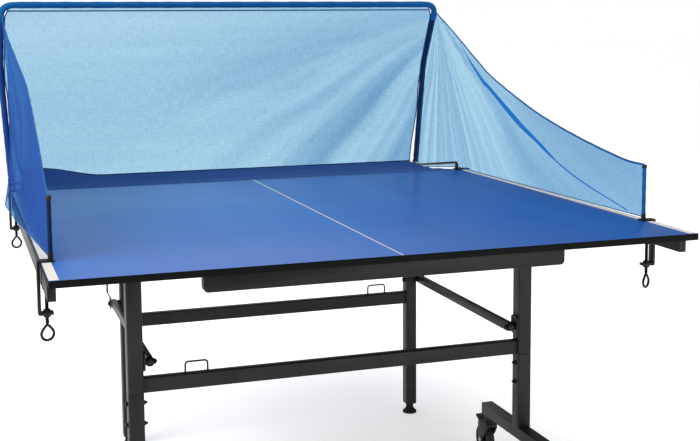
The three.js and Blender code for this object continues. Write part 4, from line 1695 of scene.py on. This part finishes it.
@dataclass
class Wing:
    """Side net from a front pole to a rear upright, gathered in loose upright folds."""

    side: Side
    bow: float
    ripple: float
    packed_and_shaded: float
    # Base level of the gather; the left wing's high level is partly painted shade.
    cut_area: float
    cells: tuple[int, int] = (260, 60)
    stitches: int = 150

    def __post_init__(self) -> None:
        """Lay the four edges that the cloth is stretched between."""
        s = self.side.value
        hem = [(206, 904), (316, 910), (569, 951), (824, 1008), (1094, 1091), (1224, 1142)]
        hem += [(1450, 1236), (1612, 1303)]
        pole = 741.0
        inward = [(206.0, pole), (500.0, pole - self.bow * 0.55), (1000.0, pole - self.bow), (1612.0, 760.0)]
        self.top = Route([at(s * between(inward, y), y, z) for y, z in hem])
        if self.side is Side.LEFT:
            foot = [(744, 206, 770), (752, 330, 769), (766, 560, 766), (775, 874, 744), (778, 1194, 724)]
            foot += [(779, 1350, 714), (777, 1500, 700), (766, 1640, 690), (745, 1760, 712)]
        else:
            foot = [(741, 206, 765), (745, 420, 763.4), (746, 800, 763), (746, 1200, 763), (746, 1366, 763)]
            foot += [(745, 1480, 753), (743, 1620, 738), (741, 1757, 722)]
        self.bottom = Route([at(s * x, y, z) for x, y, z in foot])
        self.front = Route([at(s * foot[0][0], 206, 770), at(s * 742, 206, 837), at(s * 741, 206, 904)])
        if self.side is Side.LEFT:
            edge = [(734, 1757, 850), (736, 1750, 980), (745, 1738, 1110), (752, 1690, 1200)]
        else:
            edge = [(747, 1757, 850), (755, 1750, 980), (764, 1738, 1110), (764, 1690, 1200)]
        edge = [foot[-1], *edge, (760, 1612, 1303)]
        self.rear = Route([at(s * x, y, z) for x, y, z in edge])

    def smooth(self, u: float, v: float) -> Vector:
        """Point of the unfolded sheet between its four edges.

        Args:
            u: share of the way to the back, from 0 to 1.
            v: share of the way up, from 0 to 1.

        Returns:
            The point, in metres.
        """
        top, bottom, front, rear = self.top(u), self.bottom(u), self.front(v), self.rear(v)
        corners = self.bottom(0) * (1 - u) * (1 - v) + self.bottom(1) * u * (1 - v)
        corners += self.top(0) * (1 - u) * v + self.top(1) * u * v
        return bottom * (1 - v) + top * v + front * (1 - u) + rear * u - corners

    def fold(self, u: float, v: float) -> float:
        """Depth of the folds at a point, from -1 to 1.

        Args:
            u: share of the way to the back, from 0 to 1.
            v: share of the way up, from 0 to 1.

        Returns:
            The depth.
        """
        fan = u + 0.10 * v * (1 - u)
        drift = noise.noise(Vector((fan * 7.0, v * 0.8, 3.0 + self.side.value)))
        ribs = math.sin(math.tau * (fan * 13.0 + 1.3 * drift))
        broad = noise.noise(Vector((fan * 9.0, v * 1.5, 9.0 + self.side.value)))
        return 0.62 * ribs + 0.9 * broad

    def at_share(self, u: float, v: float) -> Vector:
        """Point of the folded sheet.

        Args:
            u: share of the way to the back, from 0 to 1.
            v: share of the way up, from 0 to 1.

        Returns:
            The point, in metres.
        """
        held = smoothstep(0.0, 0.05, u) * smoothstep(0.0, 0.04, 1 - u)
        loose = 0.25 + 0.75 * smoothstep(0.0, 0.25, v) * smoothstep(0.0, 0.10, 1 - v)
        depth = self.fold(u, v) * self.ripple * MM * held * loose
        return self.smooth(u, v) + X_AXIS * depth

    def gather(self, u: float, v: float) -> float:
        """How bunched the cloth is: most towards the upper rear corner, in bands that fan out from it. On the
        left wing the high base level is also painted shade.

        Args:
            u: share of the way to the back, from 0 to 1.
            v: share of the way up, from 0 to 1.

        Returns:
            From 0, open, to 1, bunched.
        """
        away = self.smooth(u, v) - self.rear(1.0)
        angle = math.atan2(-away.z, -away.y)
        drift = 0.6 * noise.noise(Vector((angle * 3.0, away.length * 3.0, 1.0)))
        bands = noise.noise(Vector((angle * 9.0 + drift, 0.5, self.side.value * 4.0)))
        fine = noise.noise(Vector((angle * 30.0 + drift, 2.5, self.side.value * 7.0)))
        near = 1.0 - smoothstep(0.2, 1.1, away.length)
        forward = smoothstep(0.35, 1.25, away.length)
        share = self.packed_and_shaded + 0.20 * forward + (0.26 * bands + 0.22 * fine) * (0.3 + 0.7 * near)
        if self.side is Side.LEFT:
            slit = 0.90 + 0.02 * noise.noise(Vector((v * 4.0, 2.0, 0.0)))
            open_fold = math.exp(-(((u - slit) / 0.03) ** 2))
            open_fold *= smoothstep(0.12, 0.4, v) * smoothstep(0.97, 0.8, v)
            single = smoothstep(0.04, 0.0, v - 0.15 * smoothstep(0.02, 0.6, u))
            share -= 0.45 * open_fold + 0.5 * single
        return min(1.0, max(0.0, share))

    def build(self) -> None:
        """Make the sheet, its bound edges and its pole sleeve."""
        size = (self.bottom.length, self.rear.length)
        sheet = place(
            f"sheer_wing_{self.side.label}",
            cloth(self.at_share, size, self.cells, self.gather),
            MESH,
            "tabletop",
            [f"net_wing_{self.side.label}"],
            sharpest=ALL_SMOOTH,
        )
        label = self.side.label
        stations = [i / self.stitches for i in range(self.stitches + 1)]
        hem = rod([self.at_share(u, 1.0) for u in stations], 3.0, 10, 0.42)
        foot = rod([self.at_share(u, 0.0) for u in stations], 1.4, 8, 0.6)
        pieces = [
            place(f"wing_top_binding_{label}", hem, TAPE, "tabletop"),
            place(f"wing_foot_binding_{label}", foot, TAPE, "tabletop"),
            self.build_pole_sleeve(),
        ]

    def build_pole_sleeve(self) -> bpy.types.Object:
        """Sleeve sewn along the front edge and slipped over the pole.

        Returns:
            The sleeve.
        """
        x, y, _ = middle(f"net_pole_{self.side.label}")
        path = [at(x, y, 769 + 127 * i / 16) for i in range(17)]
        sleeve = rod(path, 5.0, 20, swell=lambda t: 1.0 + 0.04 * math.sin(23 * t))
        # The left pole sleeve takes the navy tape copy, painted shade.
        finish = TAPE if self.side is Side.RIGHT else SHADED_TAPE
        return place(f"pole_sleeve_{self.side.label}", sleeve, finish, "tabletop")


@dataclass
class CatchNet:
    """Sheer net of a back panel, a trough and two wings, with its tapes and sleeves."""

    tubes: NetFrame
    panel_cells: tuple[int, int] = (220, 96)
    trough_cells: tuple[int, int] = (160, 60)
    sleeve: float = 10.6
    crease_depth: float = 9.0
    trough_half: float = 714.0
    trough_front: float = 1349.0
    board_end: float = 1371.0
    panel_foot: float = 1761.0
    trough_heights: Place = (761.0, 746.0)
    trough_sag: float = 9.0

    def build(self) -> None:
        """Make the sheets and everything sewn to them."""
        self.build_sleeves()
        self.build_panel()
        self.build_trough()
        # The left wing's base level of 0.9 is partly painted shade: it makes the whole wing deep blue as if
        # it lay in shade.
        Wing(Side.LEFT, bow=22.0, ripple=2.5, packed_and_shaded=0.9, cut_area=0.519).build()
        right = Wing(Side.RIGHT, bow=5.0, ripple=3.0, packed_and_shaded=0.12, cut_area=0.484)
        right.build()
        self.build_tuck(right)

    def panel_half(self, z: float) -> float:
        """Half width of the back panel at a height, in millimetres."""
        return between([(740, 716), (1000, 743), (1110, 752), (1290, 750), (1326, 736)], z)

    def panel(self, u: float, v: float) -> Vector:
        """Point of the back panel, bent back at the knee and folded softly.

        Args:
            u: share of the way across, from 0 to 1.
            v: share of the way up, from 0 to 1.

        Returns:
            The point, in metres.
        """
        spine = PANEL_PROFILE(v)
        z = spine.z / MM
        x = (2 * u - 1) * self.panel_half(z)
        spine = spine + Z_AXIS * self.foot_rise(x) * (1 - v) ** 6 * MM
        held = smoothstep(0.0, 0.06, v) * smoothstep(0.0, 0.08, 1 - v)
        held *= smoothstep(0.0, 0.05, u) * smoothstep(0.0, 0.05, 1 - u)
        depth = self.crease(u, v) * self.crease_depth * MM * held
        return at(x, 0, 0) + Vector((0, spine.y - NET_LINE, spine.z)) + Y_AXIS * depth

    def foot_rise(self, x: float) -> float:
        """Height that the panel's foot is drawn up by near its left end, in millimetres."""
        return 32.0 * smoothstep(430.0, 650.0, -x)

    def crease(self, u: float, v: float) -> float:
        """Depth of the soft creases at a point, from -1 to 1.

        Args:
            u: share of the way across, from 0 to 1.
            v: share of the way up, from 0 to 1.

        Returns:
            The depth.
        """
        fan = self.fan(u, v)
        drift = noise.noise(Vector((u * 2.0, v * 2.0, 1.0)))
        return 0.8 * noise.noise(Vector((fan * 3.2, drift, 5.0))) + 0.2 * math.sin(fan * 11.0 + 3 * drift)

    def fan(self, u: float, v: float) -> float:
        """Angle of a point about the panel's upper right corner, which the creases run from."""
        return math.atan2(1.02 - v, (1.10 - u) * 2.0)

    def panel_gather(self, u: float, v: float) -> float:
        """Where the back panel lies in loose creases.

        Args:
            u: share of the way across, from 0 to 1.
            v: share of the way up, from 0 to 1.

        Returns:
            From 0, open, to 1, bunched.
        """
        fan = self.fan(u, v)
        drift = 0.5 * noise.noise(Vector((u * 3.0, v * 3.0, 7.0)))
        band = noise.noise(Vector((fan * 6.0 + drift, 0.6 * u, 11.0)))
        fine = noise.noise(Vector((fan * 19.0 + drift, 0.8 * u, 17.0)))
        level = noise.noise(Vector((u * 3.0, v * 16.0, 23.0)))
        corner = 0.2 + 0.8 * smoothstep(0.25, 0.9, u) * smoothstep(1.0, 0.45, v)
        base = 0.02 + 0.15 * smoothstep(0.25, 1.0, u) + 0.07 * smoothstep(0.85, 0.35, v)
        return min(1.0, max(0.0, base + (0.24 * band + 0.13 * fine) * corner + 0.03 * level))

    def build_panel(self) -> None:
        """Back panel with a tape across its top and a bound edge at each side."""
        sheet = place(
            "sheer_back_panel",
            cloth(self.panel, (1.50, 0.60), self.panel_cells, self.panel_gather),
            MESH,
            "tabletop",
            ["net_back_panel"],
            sharpest=ALL_SMOOTH,
        )
        across = [self.panel(i / 60, 0.982) - Y_AXIS * 1.0 * MM for i in range(61)]
        tapes = [rod(across, 2.2, 8, 0.4, flat_to=Y_AXIS)]
        for u in (0.0, 1.0):
            tapes.append(rod([self.panel(u, i / 40) for i in range(41)], 2.2, 8, 0.4, flat_to=Y_AXIS))
        piece = place("panel_edge_tapes", joined(*tapes), TAPE, "tabletop")
        # The foot seam takes the navy tape copy, painted shade.
        seam = rod([self.panel(i / 60, 0.0) for i in range(61)], 3.0, 8, 0.5, flat_to=Y_AXIS)
        low = place("panel_foot_seam", seam, SHADED_TAPE, "tabletop")

    def trough(self, u: float, v: float) -> Vector:
        """Point of the ball trough: flat on the board, then sagging back to the panel's foot.

        Args:
            u: share of the way across, from 0 to 1.
            v: share of the way to the back, from 0 to 1.

        Returns:
            The point, in metres.
        """
        front, end, back = self.trough_front, self.board_end, self.panel_foot
        high, low = self.trough_heights
        y = front + (back - front) * v
        x = (2 * u - 1) * self.trough_half
        share = max(0.0, (y - end) / (back - end))
        belly = math.sin(math.pi * share)
        level = high + (low - high) * share - self.trough_sag * belly
        turned_up = self.foot_rise(x) * smoothstep(1480, back, y)
        loose = 5.0 * noise.noise(Vector((x * 0.004, y * 0.012, 2.0))) * smoothstep(1369, 1395, y) * belly
        return at(x, y, level + turned_up + loose)

    def build_trough(self) -> None:
        """Trough of close-woven cloth with a hem that lies along the end of the board."""
        finish = WovenTape("close_woven_trough", "184487", "123972", rib=2.6)
        sheet = place(
            "ball_trough",
            cloth(self.trough, (1.43, 0.41), self.trough_cells),
            finish,
            "tabletop",
            ["net_floor_panel"],
            sharpest=ALL_SMOOTH,
        )
        line = [self.trough(i / 60, 0.012) + Z_AXIS * 0.4 * MM for i in range(61)]
        hem = rod(line, 4.0, 8, 0.2, flat_to=Z_AXIS)
        piece = place("trough_front_hem", hem, TAPE, "tabletop")

    def build_sleeves(self) -> None:
        """Sleeves of woven tape over the top tube and down both uprights, those down the uprights in darker
        copies of the tape as painted shade.
        """
        corners = {side: self.tubes.point("corner", side) for side in Side}
        ends = {side: corners[side].lerp(self.tubes.joint_point(side), 0.34) for side in Side}
        path = filleted(
            [ends[Side.LEFT], corners[Side.LEFT], corners[Side.RIGHT], ends[Side.RIGHT]],
            self.tubes.corner_radius,
            14,
        )
        dense = Route(path, 1)
        line = [dense(i / 240) for i in range(241)]
        top = rod(
            line, self.sleeve, 24, swell=lambda t: 1.0 + 0.03 * math.sin(90 * t) + 0.02 * math.sin(211 * t)
        )
        place("tube_sleeve_top", top, TAPE, "tabletop")
        for side in Side:
            base, knee = self.tubes.point("base", side), self.tubes.point("knee", side)
            start = base + (knee - base).normalized() * 50 * MM
            path = Route(filleted([start, knee, ends[side]], 40.0, 10), 1)
            line = [path(i / 90) for i in range(91)]
            sleeve = rod(line, self.sleeve - 0.3, 24, swell=lambda t: 1.0 + 0.025 * math.sin(70 * t))
            # The uprights' sleeves take the darker tape copies as painted shade, the right one deepest.
            finish = SHADED_TAPE if side is Side.RIGHT else HALF_SHADED_TAPE
            place(f"upright_sleeve_{side.label}", sleeve, finish, "tabletop")

    def build_tuck(self, wing: Wing) -> None:
        """Slanting tuck where the right wing lies folded on itself, widest in its middle.

        Args:
            wing: the wing that it lies on.
        """
        line = [(1374, 1209), (1312, 1157), (1161, 1071), (1116, 1054), (915, 959), (796, 913)]
        line += [(647, 856), (488, 815), (278, 776)]
        centre = Route([at(0, y, z) for y, z in line])
        steps, reach = 90, 0.002
        found = []
        u, v = 0.8, 0.8
        for i in range(steps + 1):
            goal = centre(i / steps)
            for _ in range(12):
                here = wing.smooth(u, v)
                du, dv = here - wing.smooth(u - reach, v), here - wing.smooth(u, v - reach)
                det = du.y * dv.z - du.z * dv.y
                miss = goal - here
                u += reach * (miss.y * dv.z - miss.z * dv.y) / det
                v += reach * (du.y * miss.z - du.z * miss.y) / det
                u, v = min(0.99, max(0.01, u)), min(0.985, max(0.01, v))
            found.append((u, v))
        widths = [(0.0, 1.0), (0.22, 7.0), (0.42, 9.5), (0.58, 6.0), (0.68, 2.4), (1.0, 1.6)]

        def lay(t: float, w: float) -> Vector:
            """Point of the tuck along and across.

            Args:
                t: share of its length.
                w: share of its width.

            Returns:
                The point, in metres.
            """
            i = min(steps, int(round(t * steps)))
            here = wing.smooth(*found[i])
            a, b = found[max(0, i - 1)], found[min(steps, i + 1)]
            along = wing.smooth(*b) - wing.smooth(*a)
            across = Vector((0.0, -along.z, along.y)).normalized()
            return here + across * (2 * w - 1) * between(widths, t) * MM - X_AXIS * (wing.ripple + 0.8) * MM

        strip = cloth(lay, (1.3, 0.02), (steps, 4))
        finish = WovenTape("wing_tuck_blue", "1C78C2", "176CB2", rib=2.4)
        piece = place("wing_tuck_right", strip, finish, "tabletop", sharpest=ALL_SMOOTH)


# ---- studio -----------------------------------------------------------------------------------


@dataclass
class Studio:
    """Pale floor, soft light and the camera."""

    camera_at: tuple[float, float, float] = (-941.89, -2401.08, 1272.37)
    yaw: float = 18.635
    pitch: float = 6.236
    roll: float = -0.375
    lens: float = 61.06
    shift: Place = (0.0056, -0.0987)

    def build(self) -> None:
        """Set the floor, the lights, the surroundings and the camera."""
        self.build_floor()
        self.build_world()
        self.build_light("key_softbox", (-3.6, -1.4, 2.6), (0.0, 0.2, 0.7), (2.6, 2.0), 130.0)
        self.build_light("fill_softbox", (3.4, -3.6, 2.4), (0.0, 0.0, 0.7), (3.0, 2.2), 14.0)
        self.build_light("low_softbox", (1.6, -3.4, 0.5), (0.4, 0.2, 0.1), (2.4, 0.8), 22.0)
        self.build_light("top_softbox", (0.4, 0.4, 4.4), (0.0, 0.0, 0.0), (4.0, 4.0), 90.0)
        self.build_camera()

    def build_floor(self) -> None:
        """Wide pale floor."""
        shape = bmesh.new()
        bmesh.ops.create_grid(shape, x_segments=1, y_segments=1, size=60.0)
        mesh = bpy.data.meshes.new("studio_floor")
        shape.to_mesh(mesh)
        shape.free()
        mesh.materials.append(PaleFloor().material())
        floor = bpy.data.objects.new("studio_floor", mesh)
        bpy.context.scene.collection.objects.link(floor)

    def build_world(self) -> None:
        """Surroundings that are bright behind the table and dimmer in front of it and to its right."""
        world = bpy.data.worlds.new("studio")
        bpy.context.scene.world = world
        world.use_nodes = True
        tree = world.node_tree
        tree.nodes.clear()
        way = add(tree, "TexCoord").outputs["Generated"]
        split = add(tree, "SeparateXYZ", {"Vector": way})
        dimmer = {"To Min": 1.0, "To Max": 0.22}
        to_right = {"Value": split.outputs["X"], "From Min": 0.22, "From Max": 0.46, **dimmer}
        to_back = {"Value": split.outputs["Y"], "From Min": -0.5, "From Max": 0.3, "To Min": 0.45}
        side = add(tree, "MapRange", to_right).outputs[0]
        depth = add(tree, "MapRange", to_back).outputs[0]
        power = add(tree, "Math", {0: side, 1: depth}, operation="MULTIPLY").outputs[0]
        seen = add(tree, "LightPath").outputs["Is Camera Ray"]
        white = (1.0, 1.0, 1.0, 1.0)
        lit = add(tree, "Background", {"Color": white, "Strength": power}).outputs[0]
        plain = add(tree, "Background", {"Color": white, "Strength": 1.0}).outputs[0]
        shader = add(tree, "MixShader", {0: seen, 1: lit, 2: plain}).outputs[0]
        add(tree, "OutputWorld", {"Surface": shader})

    def build_light(
        self, name: str, spot: Sequence[float], target: Sequence[float], size: Place, power: float
    ) -> None:
        """Rectangular soft light.

        Args:
            name: the light's name.
            spot: where it stands, in metres.
            target: what it points at.
            size: its width and height in metres.
            power: watts.
        """
        light = bpy.data.lights.new(name, "AREA")
        light.shape = "RECTANGLE"
        light.size, light.size_y = size
        light.energy = power
        lamp = bpy.data.objects.new(name, light)
        lamp.location = spot
        lamp.rotation_euler = (Vector(target) - Vector(spot)).to_track_quat("-Z", "Y").to_euler()
        bpy.context.scene.collection.objects.link(lamp)

    def build_camera(self) -> None:
        """Camera at the angle that the table is meant to be seen from."""
        yaw, pitch, roll = (math.radians(a) for a in (self.yaw, self.pitch, self.roll))
        ahead = Vector((math.sin(yaw) * math.cos(pitch), math.cos(yaw) * math.cos(pitch), -math.sin(pitch)))
        right = Vector((math.cos(yaw), -math.sin(yaw), 0.0))
        up = right.cross(ahead)
        tilted = right * math.cos(roll) + up * math.sin(roll)
        upright = up * math.cos(roll) - right * math.sin(roll)
        lens = bpy.data.cameras.new("camera")
        lens.sensor_width = 36.0
        lens.lens = self.lens
        lens.shift_x, lens.shift_y = self.shift
        lens.clip_end = 200.0
        camera = bpy.data.objects.new("camera", lens)
        basis = Matrix((tilted, upright, -ahead)).transposed().to_4x4()
        camera.matrix_world = Matrix.Translation(at(*self.camera_at)) @ basis
        bpy.context.scene.collection.objects.link(camera)
        bpy.context.scene.camera = camera


def main() -> None:
    """Build the table piece by piece round its frame."""
    logging.basicConfig(level=logging.INFO, format="%(message)s")
    bpy.context.scene.view_settings.view_transform = "Standard"
    Studio().build()
    Tabletop().build()
    Trolley().build()
    for side in Side:
        for end in End:
            Caster(side, end).build()
        Strut(side).build()
    FoldingLegs().build()
    tubes = NetFrame()
    tubes.build()
    CatchNet(tubes).build()


if __name__ == "__main__":
    main()
